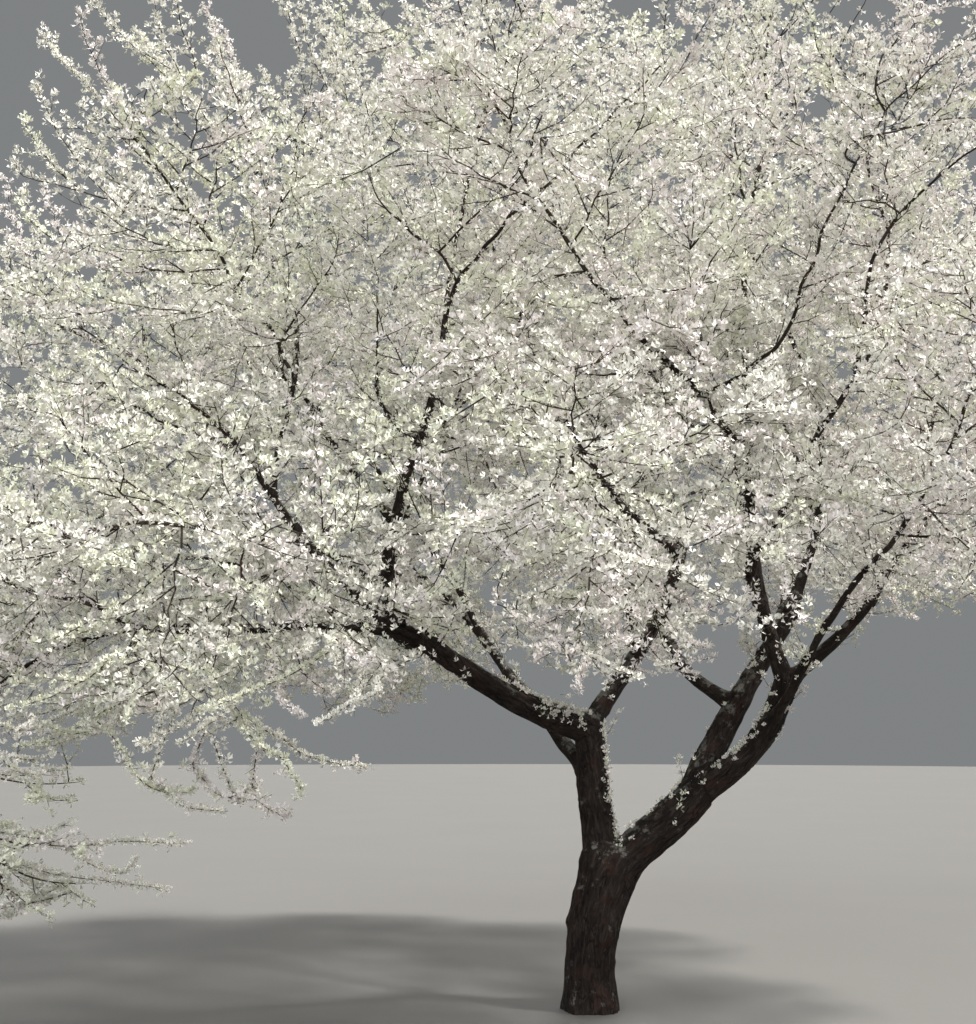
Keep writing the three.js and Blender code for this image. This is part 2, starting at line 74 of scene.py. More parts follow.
# on and at: the limb that this one leaves, and how far along it. tip: where it ends. leaves and
# arrives: its turn from +X and its rise there, in degrees. across: its diameter at both ends.
limbPlan = named("on at tip leaves arrives across", dict(
    left_limb=("trunk", 0.86, (0.005, 0.04, 1.6), (165, 72), (150, 84), (0.19, 0.165)),
    right_limb=("trunk", 0.8, (0.61, -0.05, 1.19), (-8, 50), (-8, 48), (0.23, 0.205)),
    left_bough=("left_limb", 0.94, (-1.11, -0.7, 2.105), (-150, 12), (-145, 22), (0.16, 0.084)),
    left_rise=("left_bough", 0.96, (-0.81, -0.55, 3.72), (-170, 76), (70, 84), (0.078, 0.03)),
    left_low_bough=("left_bough", 0.9, (-1.93, -1.1, 2.03), (-158, 8), (-152, -4), (0.052, 0.028)),
    left_hanging_bough=("left_low_bough", 0.7, (-3.08, -1.33, 1.56), (176, 4), (190, -60), (0.026, 0.016)),
    left_reach=("left_bough", 0.97, (-2, -0.2, 3.14), (152, 34), (147, 48), (0.066, 0.03)),
    left_top_bough=("left_reach", 0.72, (-1.69, -0.25, 3.9), (120, 80), (150, 66), (0.034, 0.02)),
    left_back_bough=("left_bough", 0.55, (-1.85, 0.62, 2.45), (140, 22), (165, 30), (0.062, 0.03)),
    front_left_bough=("left_bough", 0.68, (-1.25, -1.56, 2.33), (-115, 30), (-120, 14), (0.056, 0.028)),
    front_middle_bough=("left_rise", 0.16, (-0.93, -1.08, 2.73), (-75, 36), (-66, 40), (0.044, 0.024)),
    front_left_upper=("left_rise", 0.34, (-1.56, -1.12, 3.33), (-150, 42), (-130, 50), (0.042, 0.022)),
    back_left_bough=("left_limb", 0.62, (-0.9, 1.42, 2.48), (125, 36), (120, 30), (0.084, 0.036)),
    back_left_upper=("back_left_bough", 0.66, (-1.33, 1.06, 3.28), (150, 62), (140, 52), (0.046, 0.024)),
    mid_rise=("left_limb", 0.95, (0.605, 0.35, 2.62), (30, 52), (32, 74), (0.112, 0.066)),
    mid_arch=("mid_rise", 0.96, (-0.17, -0.56, 3.26), (-140, 26), (-126, 44), (0.05, 0.026)),
    front_bough=("mid_rise", 0.42, (0.12, -1.36, 2.56), (-105, 26), (-100, 12), (0.052, 0.028)),
    back_upper=("mid_rise", 0.8, (0.06, 1.33, 3.3), (100, 50), (120, 36), (0.048, 0.026)),
    back_top_bough=("mid_rise", 0.97, (-0.25, 0.72, 4.05), (130, 72), (150, 66), (0.046, 0.024)),
    inner_limb=("right_limb", 0.95, (1.25, 0.3, 2.235), (22, 64), (26, 52), (0.165, 0.086)),
    inner_rise=("inner_limb", 0.97, (1.495, 0.55, 3), (40, 62), (50, 78), (0.078, 0.04)),
    back_bough=("inner_limb", 0.46, (0.52, 1.42, 2.56), (150, 24), (98, 26), (0.076, 0.034)),
    back_right_bough=("inner_limb", 0.86, (1.56, 1.33, 2.74), (75, 28), (62, 28), (0.06, 0.03)),
    back_right_upper=("inner_rise", 0.55, (1.37, 1.12, 3.56), (80, 56), (100, 48), (0.04, 0.022)),
    outer_limb=("right_limb", 0.96, (1.08, -0.3, 1.825), (-20, 32), (-35, 76), (0.145, 0.132)),
    right_bough=("outer_limb", 0.96, (1.525, -0.6, 2.31), (-20, 40), (-40, 62), (0.072, 0.056)),
    right_upper=("right_bough", 0.86, (2, -0.06, 3.26), (25, 52), (40, 56), (0.042, 0.024)),
    right_rise=("outer_limb", 0.97, (0.85, -0.55, 3.19), (-160, 66), (-105, 86), (0.098, 0.044)),
    front_arch=("right_rise", 0.86, (0.23, -1.2, 3.48), (-142, 48), (-128, 14), (0.05, 0.028)),
    right_middle_bough=("right_rise", 0.3, (0.79, -0.84, 2.65), (-140, 32), (-125, 40), (0.046, 0.024)),
    front_right_upper=("right_rise", 0.52, (1.33, -1.06, 3.33), (-40, 44), (-48, 40), (0.046, 0.024)),
    front_right_bough=("outer_limb", 0.7, (1.33, -1.38, 2.38), (-78, 26), (-72, 22), (0.058, 0.028)),
))

# on: the bough whose tip feeds the mass. centre and half: the mass's own rounded space. lift: how
# far its twigs turn up, or down where it is below zero.
massPlan = named("on centre half lift", dict(
    left_hanging=("left_hanging_bough", (-2.88, -1.42, 1.08), (0.8, 0.56, 0.44), -0.1),
    left_low=("left_low_bough", (-2.85, -1, 2.33), (1.3, 1.05, 0.9), -0.05),
    front_left_low=("front_left_bough", (-1.7, -2.05, 2.35), (1.3, 1.2, 0.88), -0.05),
    front_low=("front_bough", (-0.1, -2.25, 2.56), (1.2, 1.12, 0.86), 0.02),
    front_right_low=("front_right_bough", (1.5, -1.9, 2.88), (1.2, 1.12, 0.84), 0.08),
    right_low=("right_bough", (2.25, -0.5, 2.95), (1.05, 1.2, 0.84), 0.12),
    back_right_low=("back_right_bough", (1.75, 1.6, 2.98), (1.2, 1.18, 0.84), 0.1),
    back_low=("back_bough", (0.2, 2.33, 2.76), (1.25, 1.08, 0.9), 0.05),
    back_left_low=("back_left_bough", (-1.45, 2.1, 2.45), (1.25, 1.12, 0.92), 0),
    left_back_low=("left_back_bough", (-2.78, 0.9, 2.4), (1.28, 1.18, 0.9), 0),
    left=("left_reach", (-2.75, 0, 3.62), (1.27, 1.08, 0.98), 0.3),
    front_left=("front_left_upper", (-1.85, -1.42, 3.73), (1.25, 1.12, 0.98), 0.3),
    front_middle=("front_middle_bough", (-0.75, -1.42, 3.05), (0.95, 1, 0.85), 0.25),
    front=("front_arch", (-0.2, -1.72, 3.95), (1.18, 1.08, 0.96), 0.3),
    front_right=("front_right_upper", (1.32, -1.28, 4.05), (1.18, 1.08, 0.96), 0.35),
    right_middle=("right_middle_bough", (0.62, -1.18, 3.08), (0.95, 0.95, 0.85), 0.25),
    right=("right_upper", (2.05, 0.25, 4), (1.05, 1.15, 1.02), 0.35),
    back_right=("back_right_upper", (1.12, 1.62, 4.08), (1.22, 1.08, 0.96), 0.3),
    back=("back_upper", (-0.45, 1.92, 3.9), (1.18, 1.08, 0.96), 0.3),
    back_left=("back_left_upper", (-1.93, 1.42, 3.75), (1.22, 1.08, 0.98), 0.3),
    middle=("mid_arch", (-0.48, -0.25, 4), (1.1, 1.05, 0.95), 0.4),
    top_left=("left_top_bough", (-1.9, 0, 4.75), (1.28, 1.08, 0.98), 0.45),
    top=("left_rise", (-0.5, -0.6, 4.96), (1.18, 1.08, 1), 0.5),
    top_right=("right_rise", (1, -0.42, 4.78), (1.18, 1.08, 1.18), 0.5),
    top_back_right=("inner_rise", (0.9, 0.72, 4.73), (1.18, 1.02, 1.22), 0.5),
    top_back=("back_top_bough", (-0.72, 0.85, 4.96), (1.28, 1.02, 1), 0.45),
))

# How twigs grow in a mass, the same as in the frame. Angles are in degrees.
rule = dict(
    spaceMargin=0.075, limbMargin=0.014, limbBits=10, stemBits=4, stemTip=0.007, stemReach=0.86,
    stemPull=0.33, stemLift=0.2, twigs=12, twigSpan=(0.1, 0.97), twigAngle=(88, 36), angleLoose=14,
    twigRoll=137.5, rollLoose=60, massRoll=97, twigReach=0.93, twigLength=(0.26, 1.18), lengthLoose=0.2,
    twigRoom=0.07, lift=0.5, jitter=0.5, sprays=9, spraySpan=(0.14, 0.92), sprayAngle=50,
    sprayAngleLoose=16, sprayTurnLoose=55, sprayLength=(0.13, 0.48), sprayRoom=0.96,
)
# How much thicker each limb is at its foot, and how fast that fades along it.
swell, swellFade = 0.12, 9
tiny, tiniest = 1e-9, 1e-12
up = np.array((0.0, 0.0, 1.0))


def mix(a, b, share):
    return a + (b - a) * share


def unit(vectors):
    return vectors / np.linalg.norm(vectors, axis=-1, keepdims=True)


def dot(a, b):
    return (a * b).sum(-1, keepdims=True)


def norms(vectors):
    return np.linalg.norm(vectors, axis=-1)


def lengthOf(paths):
    return norms(np.diff(paths, axis=-2)).sum(-1)


# How far along it each point of a path is.
def runAlong(path):
    return np.concatenate(((0,), np.cumsum(norms(np.diff(path, axis=0)))))


# Even angles all the way round.
def anglesOf(sides):
    return np.arange(sides) * 2 * math.pi / sides


# The unit vector with that turn from +X and rise above the ground.
def toward(direction):
    turn, rise = np.radians(direction)
    return np.array((math.cos(rise) * math.cos(turn), math.cos(rise) * math.sin(turn), math.sin(rise)))


# A unit vector square to each given one.
def squareTo(direction):
    side = np.where(np.abs(direction[..., 2:]) < 0.9, up, np.array((0.0, 1.0, 0.0)))
    return unit(np.cross(side, direction))


# The four control points of a smooth curve between two places with a direction at each.
def curveBetween(start, leaves, arrives, tip, pull=0.38):
    reach = np.linalg.norm(tip - start) * pull
    return np.array((start, start + leaves * reach, tip - arrives * reach, tip))


def curveOf(plan, start):
    return curveBetween(start, toward(plan["leaves"]), toward(plan["arrives"]), np.array(plan["tip"]))


def pointOn(curve, share):
    s = np.asarray(share, float)[..., None]
    r = 1 - s
    return curve[0] * r**3 + 3 * curve[1] * r * r * s + 3 * curve[2] * r * s * s + curve[3] * s**3


def tangentOn(curve, share):
    s = np.asarray(share, float)[..., None]
    r = 1 - s
    first, second, third = curve[1] - curve[0], curve[2] - curve[1], curve[3] - curve[2]
    return unit(first * r * r + 2 * second * r * s + third * s * s)


# The trunk's radius at a share of its height and an angle round it.
def trunkGirth(share, angle):
    plan = trunkPlan
    height = share * plan["top"][2]
    lobe = 1 + plan["lobeDepth"] * np.cos(plan["rootLobes"] * angle)
    foot = 1 + plan["flare"] * lobe * np.exp(-np.maximum(height, 0) / plan["flareHeight"])
    fork = 1 + plan["forkSpread"] * share * share * np.abs(np.sin(angle))
    top = np.clip((share - (1 - plan["narrowOver"])) / plan["narrowOver"], 0, 1)
    girth = mix(*plan["across"], share * share) / 2 * foot * fork
    return girth * (1 - plan["narrowing"] * top ** 2)


def limbRadius(limb, share):
    if limb["name"] == "trunk":
        return trunkGirth(share, 0.0)
    return mix(*limb["across"], share) / 2 * (1 + swell * np.exp(-share * swellFade))


def makeLimbs():
    curve = curveBetween(np.zeros(3), toward(trunkPlan["leaves"]), toward(trunkPlan["arrives"]),
                         np.array(trunkPlan["top"]))
    limbs = {"trunk": dict(name="trunk", curve=curve, side=np.array((0.0, 1.0, 0.0)))}
    for name, plan in limbPlan.items():
        leaves, arrives = toward(plan["leaves"]), toward(plan["arrives"])
        bend = np.cross(leaves, arrives)
        side = unit(bend) if np.linalg.norm(bend) > 0.05 else squareTo(leaves)
        curve = curveOf(plan, pointOn(limbs[plan["on"]]["curve"], plan["at"]))
        limbs[name] = dict(plan, name=name, curve=curve, side=side, arrives=arrives,
                           length=lengthOf(pointOn(curve, np.linspace(0, 1, 20))))
    return limbs


# A repeatable draw from 0 to 1, from the whole numbers that place one twig in the tree.
def draw(*keys):
    state = 2166136261
    for key in keys:
        state = (state ^ key) * 16777619 & 0xFFFFFFFF
        state = (state ^ (state >> 15)) * 2246822507 & 0xFFFFFFFF
    return (state ^ (state >> 13)) / 4294967296


# How far lines run before they leave the mass's space: its rounded outline, and the walls half way
# to its neighbours.
def roomAlong(mass, places, directions, margin=rule["spaceMargin"]):
    inner, step = (places - mass["centre"]) / mass["half"], directions / mass["half"]
    p, q = (step * step).sum(-1), (inner * step).sum(-1)
    inside = q * q - p * ((inner * inner).sum(-1) - 1)
    room = np.where(inside > 0, (np.sqrt(np.maximum(inside, 0)) - q) / p, 0)
    gap = mass["offsets"] - places @ mass["normals"].T - margin
    speed = directions @ mass["normals"].T
    reach = np.where(speed > tiny, gap / np.maximum(speed, tiny), np.inf).min(-1)
    return np.maximum(np.where((gap < 0).any(-1), 0, np.minimum(room, reach)), 0)


def makeMasses():
    masses = []
    for key, (name, plan) in enumerate(massPlan.items()):
        masses.append(dict(plan, name=name, key=key, bough=limbs[plan["on"]],
                           centre=np.array(plan["centre"]), half=np.array(plan["half"])))
    centres = np.array([mass["centre"] for mass in masses])
    for mass in masses:
        others = np.delete(centres, mass["key"], axis=0)
        mass["normals"] = unit(others - mass["centre"])
        mass["offsets"] = (mass["normals"] * (others + mass["centre"]) / 2).sum(-1)
        bough = mass["bough"]
        tip = pointOn(bough["curve"], 1)
        across = unit(mass["centre"] - tip + up * mass["lift"] * rule["stemLift"])
        end = mass["centre"] + across * roomAlong(mass, mass["centre"], across) * rule["stemReach"]
        mass["stem"] = curveBetween(tip, bough["arrives"], across, end, rule["stemPull"])
        mass["stemFoot"] = limbRadius(bough, 1)
    return masses


# The limbs and stems as short straight bits, to keep twigs clear of their bark.
def bitsOf(curve, radii):
    places = pointOn(curve, np.linspace(0, 1, len(radii) + 1))
    return np.column_stack((places[:-1], places[1:], radii))


# The shortest distance from one straight bit to each of many.
def apart(a, b, starts, ends):
    u, v, w = b - a, ends - starts, a - starts
    uu, vv, uv, uw, vw = u @ u, (v * v).sum(-1), v @ u, w @ u, (v * w).sum(-1)
    spread = uu * vv - uv * uv
    s = np.where(spread > tiniest, np.clip((uv * vw - vv * uw) / np.maximum(spread, tiniest), 0, 1), 0)
    t = np.clip((uv * s + vw) / vv, 0, 1)
    s = np.clip((uv * t - uw) / uu, 0, 1)
    return norms(w + u * s[:, None] - v * t[:, None])


def clearOf(bits, start, end, radius=0.0):
    return (apart(start, end, bits[:, :3], bits[:, 3:6]) > bits[:, 6] + radius + rule["limbMargin"]).all()


# The same for lines from many roots, each a little off the bark that carries it.
def allClearOf(bits, roots, headings, lengths, off=0.03):
    return np.array([clearOf(bits, root + heading * off, root + heading * length)
                     for root, heading, length in zip(roots, headings, lengths)], bool)


# The side twigs of a mass and the sprays on them, by the same draws as in the frame.
def growTwigs(mass, bits):
    key, lift, stem = mass["key"], mass["lift"], mass["stem"]

    def wobble(*keys):
        return (draw(key, *keys) - 0.5) * rule["jitter"] * 2

    corners = pointOn(stem, np.linspace(0, 1, 5))
    twigs, sprays = [], []
    for i in range(rule["twigs"]):
        share = mix(*rule["twigSpan"], (i + 0.5 + 0.5 * wobble(i, 1)) / rule["twigs"])
        band = min(3, int(share * 4))
        start = mix(corners[band], corners[band + 1], share * 4 - band)
        along = tangentOn(stem, share)
        side = squareTo(along)
        roll = i * rule["twigRoll"] + rule["rollLoose"] * wobble(i, 2) + rule["massRoll"] * key
        angle = mix(*rule["twigAngle"], share) + rule["angleLoose"] * wobble(i, 3)
        roll, angle = math.radians(roll), math.radians(angle)
        out = side * math.cos(roll) + np.cross(along, side) * math.sin(roll)
        heading = unit(along * math.cos(angle) + out * math.sin(angle) + up * lift * rule["lift"])
        room = roomAlong(mass, start, heading) * rule["twigReach"]
        length = min(room, rule["twigLength"][1] * (1 - rule["lengthLoose"] * draw(key, i, 4)))
        end = start + heading * length
        free = clearOf(bits, mix(start, end, 0.1), end, rule["twigRoom"])
        if length < rule["twigLength"][0] or not free:
            continue
        twigs.append((share, end))
        flat = squareTo(heading)
        across = np.cross(heading, flat)
        for j in range(rule["sprays"]):
            at = mix(*rule["spraySpan"], (j + 0.5 + 0.4 * wobble(i, j, 5)) / rule["sprays"])
            turn = math.radians(rule["sprayTurnLoose"] * wobble(i, j, 6))
            out = (flat * math.cos(turn) + across * math.sin(turn)) * (1 if j % 2 else -1)
            angle = math.radians(rule["sprayAngle"] + rule["sprayAngleLoose"] * wobble(i, j, 7))
            direction = unit(heading * math.cos(angle) + out * math.sin(angle) + up * lift * rule["lift"])
            root = start + heading * length * at
            wanted = mix(*rule["sprayLength"][::-1], at * (0.6 + 0.4 * draw(key, i, j, 8)))
            reach = min(roomAlong(mass, root, direction) * rule["sprayRoom"], wanted)
            if reach >= rule["sprayLength"][0]:
                sprays.append((len(twigs) - 1, at, reach, direction))
    return twigs, sprays


# Rings of points round lines: paths is (lines, points, 3) and radii (lines, points) or with one more
# axis for the angle.
def ringsOf(paths, radii, sides, side=None):
    along = unit(np.gradient(paths, axis=1))
    if side is None:
        side = squareTo(unit(paths[:, -1] - paths[:, 0]))[:, None]
    across = unit(side - dot(side, along) * along)
    depth = np.cross(along, across)
    angle = anglesOf(sides)
    turn = np.cos(angle)[:, None] * across[:, :, None] + np.sin(angle)[:, None] * depth[:, :, None]
    if radii.ndim == 2:
        radii = radii[:, :, None]
    return paths[:, :, None] + radii[..., None] * turn


# Closed tubes over those rings, as points and faces of several sizes. A pointed one ends in a tip.
def tubesOf(rings, pointed=False):
    lines, count, sides, _ = rings.shape
    count -= pointed
    body = rings[:, :count].reshape(-1, 3)
    index = np.arange(len(body)).reshape(lines, count, sides)
    low, high, foot, top = index[:, :-1], index[:, 1:], index[:, 0, ::-1], index[:, -1]
    walls = np.stack((low, np.roll(low, -1, 2), np.roll(high, -1, 2), high), -1).reshape(-1, 4)
    if not pointed:
        return body, [walls, np.concatenate((foot, top))]
    tip = np.broadcast_to((len(body) + np.arange(lines))[:, None], top.shape)
    cones = np.stack((top, np.roll(top, -1, 1), tip), -1).reshape(-1, 3)
    faces = [part for part in (walls, cones, foot) if len(part)]
    return np.concatenate((body, rings[:, -1].mean(1))), faces


def tubeAlong(path, radii, sides, side):
    return tubesOf(ringsOf(path[None], radii[None], sides, side))


# Several points-and-faces pairs as one.
def joined(parts):
    points, faces, base = [], [], 0
    for places, sets in parts:
        points.append(places)
        faces += [corners + base for corners in sets]
        base += len(places)
    return np.concatenate(points), faces


def meshFrom(name, points, faces, smooth=False):
    mesh = bpy.data.meshes.new(name)
    mesh.vertices.add(len(points))
    mesh.vertices.foreach_set("co", points.astype(np.float32).ravel())
    corners = np.concatenate([part.ravel() for part in faces]).astype(np.int32)
    sizes = np.concatenate([np.full(len(part), part.shape[1]) for part in faces])
    mesh.loops.add(len(corners))
    mesh.loops.foreach_set("vertex_index", corners)
    mesh.polygons.add(len(sizes))
    mesh.polygons.foreach_set("loop_start", (np.cumsum(sizes) - sizes).astype(np.int32))
    mesh.polygons.foreach_set("use_smooth", np.full(len(sizes), smooth))
    mesh.update(calc_edges=True)
    return mesh


def addObject(name, data):
    added = bpy.data.objects.new(name, data)
    bpy.context.scene.collection.objects.link(added)
    return added


# Puts a mesh in the scene as a piece of the tree.
def placePiece(mesh, material, nodes):
    piece = addObject(mesh.name, mesh)
    mesh.materials.append(material)
    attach(piece, "root")
    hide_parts(*nodes)
    print(" ", mesh.name, len(mesh.loops) - 2 * len(mesh.polygons), "triangles")


def readCoords(mesh, what="co"):
    values = np.empty(len(mesh.vertices) * 3, np.float32)
    mesh.vertices.foreach_get(what, values)
    return values.reshape(-1, 3).astype(float)


# Smooth noise from -1 to 1 at each place, with one lump per unit.
def noiseAt(places, seed):
    cell = np.floor(places)
    part = places - cell
    cell = cell.astype(np.int64)
    part = part * part * (3 - 2 * part)
    total = np.zeros(len(places))
    for corner in range(8):
        step = np.array((corner & 1, corner >> 1 & 1, corner >> 2 & 1))
        share = np.where(step, part, 1 - part).prod(1)
        x, y, z = (cell + step).T
        state = (x * 73856093 ^ y * 19349663 ^ z * 83492791 ^ seed * 2654435761) & 0xFFFFFFFF
        state = ((state ^ (state >> 15)) * 2246822507) & 0xFFFFFFFF
        state = ((state ^ (state >> 13)) * 3266489909) & 0xFFFFFFFF
        total += share * (state ^ (state >> 16)) / 4294967295
    return total * 2 - 1


# Noise at each place of a line's run, with its own row for every line and axis.
def waveAt(run, key, axis, seed):
    return noiseAt(np.column_stack((run, run * 0 + key, run * 0 + axis)), seed)


# How a line wanders in x, y and z, from -1 to 1.
def wander(run, key, seed):
    return np.column_stack([waveAt(run, key, axis, seed) for axis in range(3)])


# Materials, in node code.


def addNode(tree, kind, values=None, **settings):
    node = tree.nodes.new("ShaderNode" + kind)
    for key, value in settings.items():
        setattr(node, key, value)
    for key, value in (values or {}).items():
        if isinstance(value, bpy.types.NodeSocket):
            tree.links.new(value, node.inputs[key])
        else:
            node.inputs[key].default_value = value
    return node.outputs


def mixColors(tree, share, first, second):
    return addNode(tree, "Mix", {0: share, 6: first, 7: second}, data_type="RGBA")[2]


def spread(tree, value, low, high, to=(0.0, 1.0)):
    values = {0: value, 1: low, 2: high, 3: to[0], 4: to[1]}
    return addNode(tree, "MapRange", values, interpolation_type="SMOOTHSTEP")[0]


def maths(tree, operation, first, second, kind="Math"):
    return addNode(tree, kind, {0: first, 1: second}, operation=operation)[0]


def noise(tree, vector, scale, detail=3.0, roughness=0.55):
    values = {"Vector": vector, "Scale": scale, "Detail": detail, "Roughness": roughness}
    return addNode(tree, "TexNoise", values)[0]


# A colour made darker or brighter where the given value is low or high.
def shaded(tree, color, value, to):
    scale = spread(tree, value, 0.3, 0.7, to)
    return addNode(tree, "VectorMath", {0: color, 3: scale}, operation="SCALE")[0]


def newGroup(name, inputs):
    group = bpy.data.node_groups.new(name, "ShaderNodeTree")
    for label, (kind, value) in inputs.items():
        socket = group.interface.new_socket(name=label, in_out="INPUT", socket_type="NodeSocket" + kind)
        if value is not None:
            socket.default_value = value
    for label, kind in dict(Color="Color", Roughness="Float", Height="Float").items():
        group.interface.new_socket(name=label, in_out="OUTPUT", socket_type="NodeSocket" + kind)
    return group, group.nodes.new("NodeGroupInput").outputs, group.nodes.new("NodeGroupOutput").inputs


def linkOutputs(tree, wanted, color, roughness, height):
    for label, socket in (("Color", color), ("Roughness", roughness), ("Height", height)):
        tree.links.new(socket, wanted[label])


# How fine the patterns of bark and petals are: about how many of each there are to a metre.
barkScales = dict(bends=22.0, plates=40.0, gaps=26.0, flecks=48.0, red=9.0, lichenAndHighlight=14.0, tone=4.0)
petalScales = dict(throat=70.0, tone=9.0, veins=420.0)


# Bark: scaly plates parted by dark cracks, red-brown and grey tints, and pale lichen patches that are
# pushed onto the sides that look up as a painted highlight. Grain runs along the wood in its third number.
def makeBarkGroup():
    # Main and Ridge are darker than the bark's own grey-brown: part of their darkness is painted shade.
    colors = dict(Main=(0.018, 0.013, 0.011, 1), Ridge=(0.058, 0.046, 0.039, 1),
                  Crack=(0.006, 0.004, 0.004, 1), Red=(0.052, 0.025, 0.018, 1),
                  LichenAndHighlight=(0.30, 0.30, 0.27, 1))
    inputs = {"Grain": ("Vector", None), "Place": ("Vector", None)}
    inputs.update({label: ("Color", value) for label, value in colors.items()})
    inputs.update({"Plates": ("Float", 1.0), "Red Share": ("Float", 0.3), "Lichen Share": ("Float", 0.5)})
    tree, given, wanted = newGroup("bark", inputs)
    place, grain, scale = given["Place"], given["Grain"], barkScales
    bent = addNode(tree, "TexNoise", {"Vector": grain, "Scale": scale["bends"], "Detail": 4.0})[1]
    steps = dict(SUBTRACT=(0.5, 0.5, 0.5), MULTIPLY=(0.07, 0.07, 0.05), ADD=grain)
    for operation, other in steps.items():
        bent = maths(tree, operation, bent, other, "VectorMath")
    cells = {"Vector": bent, "Scale": scale["plates"]}
    cells = addNode(tree, "TexVoronoi", cells, feature="DISTANCE_TO_EDGE")
    broken = spread(tree, noise(tree, bent, scale["gaps"], 2.0), 0.4, 0.62)
    crack = maths(tree, "MULTIPLY", spread(tree, cells[0], 0.13, 0.0), broken)
    crack = maths(tree, "MULTIPLY", crack, given["Plates"])
    fleck = noise(tree, bent, scale["flecks"], 8.0, 0.72)
    color = mixColors(tree, spread(tree, fleck, 0.42, 0.72), given["Main"], given["Ridge"])
    red = spread(tree, noise(tree, place, scale["red"]), 0.5, 0.66)
    color = mixColors(tree, maths(tree, "MULTIPLY", red, given["Red Share"]), color, given["Red"])
    color = mixColors(tree, maths(tree, "MULTIPLY", crack, 0.85), color, given["Crack"])
    # Pale patches, more of them where the surface faces up: partly lichen, partly a painted highlight of
    # light from above.
    rise = addNode(tree, "SeparateXYZ", {0: addNode(tree, "NewGeometry")["Normal"]})[2]
    patch = noise(tree, place, scale["lichenAndHighlight"], 5.0, 0.7)
    patch = maths(tree, "ADD", patch, maths(tree, "MULTIPLY", rise, 0.2))
    lichenAndHighlight = maths(tree, "MULTIPLY", spread(tree, patch, 0.6, 0.72), given["Lichen Share"])
    lichenAndHighlight = maths(tree, "MULTIPLY", lichenAndHighlight, spread(tree, fleck, 0.3, 0.55))
    color = mixColors(tree, lichenAndHighlight, color, given["LichenAndHighlight"])
    color = shaded(tree, color, noise(tree, place, scale["tone"]), (0.72, 1.25))
    height = addNode(tree, "Math", {0: crack, 1: -0.6, 2: 0.6}, operation="MULTIPLY_ADD")[0]
    height = maths(tree, "ADD", height, maths(tree, "MULTIPLY", fleck, 0.5))
    linkOutputs(tree, wanted, color, spread(tree, fleck, 0.3, 0.7, (0.96, 0.84)), height)
    return tree


# Petals and buds: two close colours that change from flower to flower, and faint veins.
def makePetalGroup():
    inputs = {"Place": ("Vector", None), "Face": ("Color", (0.8, 0.8, 0.7, 1)),
              "Throat": ("Color", (0.6, 0.6, 0.4, 1)), "Change": ("Float", 0.5)}
    tree, given, wanted = newGroup("petal", inputs)
    place, scale = given["Place"], petalScales
    share = spread(tree, noise(tree, place, scale["throat"], 2.0), 0.42, 0.72)
    share = maths(tree, "MULTIPLY", share, given["Change"])
    color = mixColors(tree, share, given["Face"], given["Throat"])
    color = shaded(tree, color, noise(tree, place, scale["tone"], 2.0), (0.93, 1.04))
    veins = noise(tree, place, scale["veins"])
    linkOutputs(tree, wanted, color, spread(tree, veins, 0.3, 0.7, (0.55, 0.75)), veins)
    return tree


# A material over one of those groups. Bark follows the grain that is stored on a mesh, or the place.
def makeMaterial(name, group, values, bump, distance, stored=False):
    material = bpy.data.materials.new(name)
    material.use_nodes = True
    tree = material.node_tree
    shader = tree.nodes["Principled BSDF"]
    values = dict(values, Place=addNode(tree, "TexCoord")["Object"])
    if group == barkGroup:
        grain = addNode(tree, "Attribute", attribute_name="grain")["Vector"]
        values["Grain"] = grain if stored else values["Place"]
        shader.inputs["Specular IOR Level"].default_value = 0.25
    dressed = addNode(tree, "Group", values, node_tree=group)
    relief = {"Strength": bump, "Distance": distance, "Height": dressed["Height"]}
    tree.links.new(dressed["Color"], shader.inputs["Base Color"])
    tree.links.new(dressed["Roughness"], shader.inputs["Roughness"])
    tree.links.new(addNode(tree, "Bump", relief)[0], shader.inputs["Normal"])
    return material


barkGroup, petalGroup = makeBarkGroup(), makePetalGroup()
# Lichen Share also sets how strong the painted highlight on the upper sides of the bark is.
oldBark = makeMaterial("oldBark", barkGroup, {"Red Share": 0.5, "Lichen Share": 0.5}, 0.9, 0.008, True)
boughBark = makeMaterial("boughBark", barkGroup, {"Red Share": 0.3, "Lichen Share": 0.6, "Plates": 0.7},
                         0.6, 0.004, True)
twigBark = makeMaterial("twigBark", barkGroup, {
    "Main": (0.03, 0.022, 0.018, 1), "Ridge": (0.078, 0.06, 0.05, 1), "Red Share": 0.45,
    "Lichen Share": 0.25, "Plates": 0.2}, 0.4, 0.001)
petalColors = dict(
    cream=dict(Face=(0.93, 0.92, 0.86, 1), Throat=(0.87, 0.86, 0.72, 1)),
    blush=dict(Face=(0.93, 0.89, 0.87, 1), Throat=(0.86, 0.78, 0.74, 1)),
    green=dict(Face=(0.90, 0.91, 0.79, 1), Throat=(0.79, 0.83, 0.57, 1)),
)
petalLooks = {tint: makeMaterial("petals_" + tint, petalGroup, colors, 0.15, 0.001)
              for tint, colors in petalColors.items()}
calyxLook = makeMaterial("calyx", petalGroup, dict(
    Face=(0.42, 0.40, 0.20, 1), Throat=(0.24, 0.15, 0.09, 1), Change=1.0), 0.2, 0.001)
print("materials made")

limbs = makeLimbs()
masses = makeMasses()

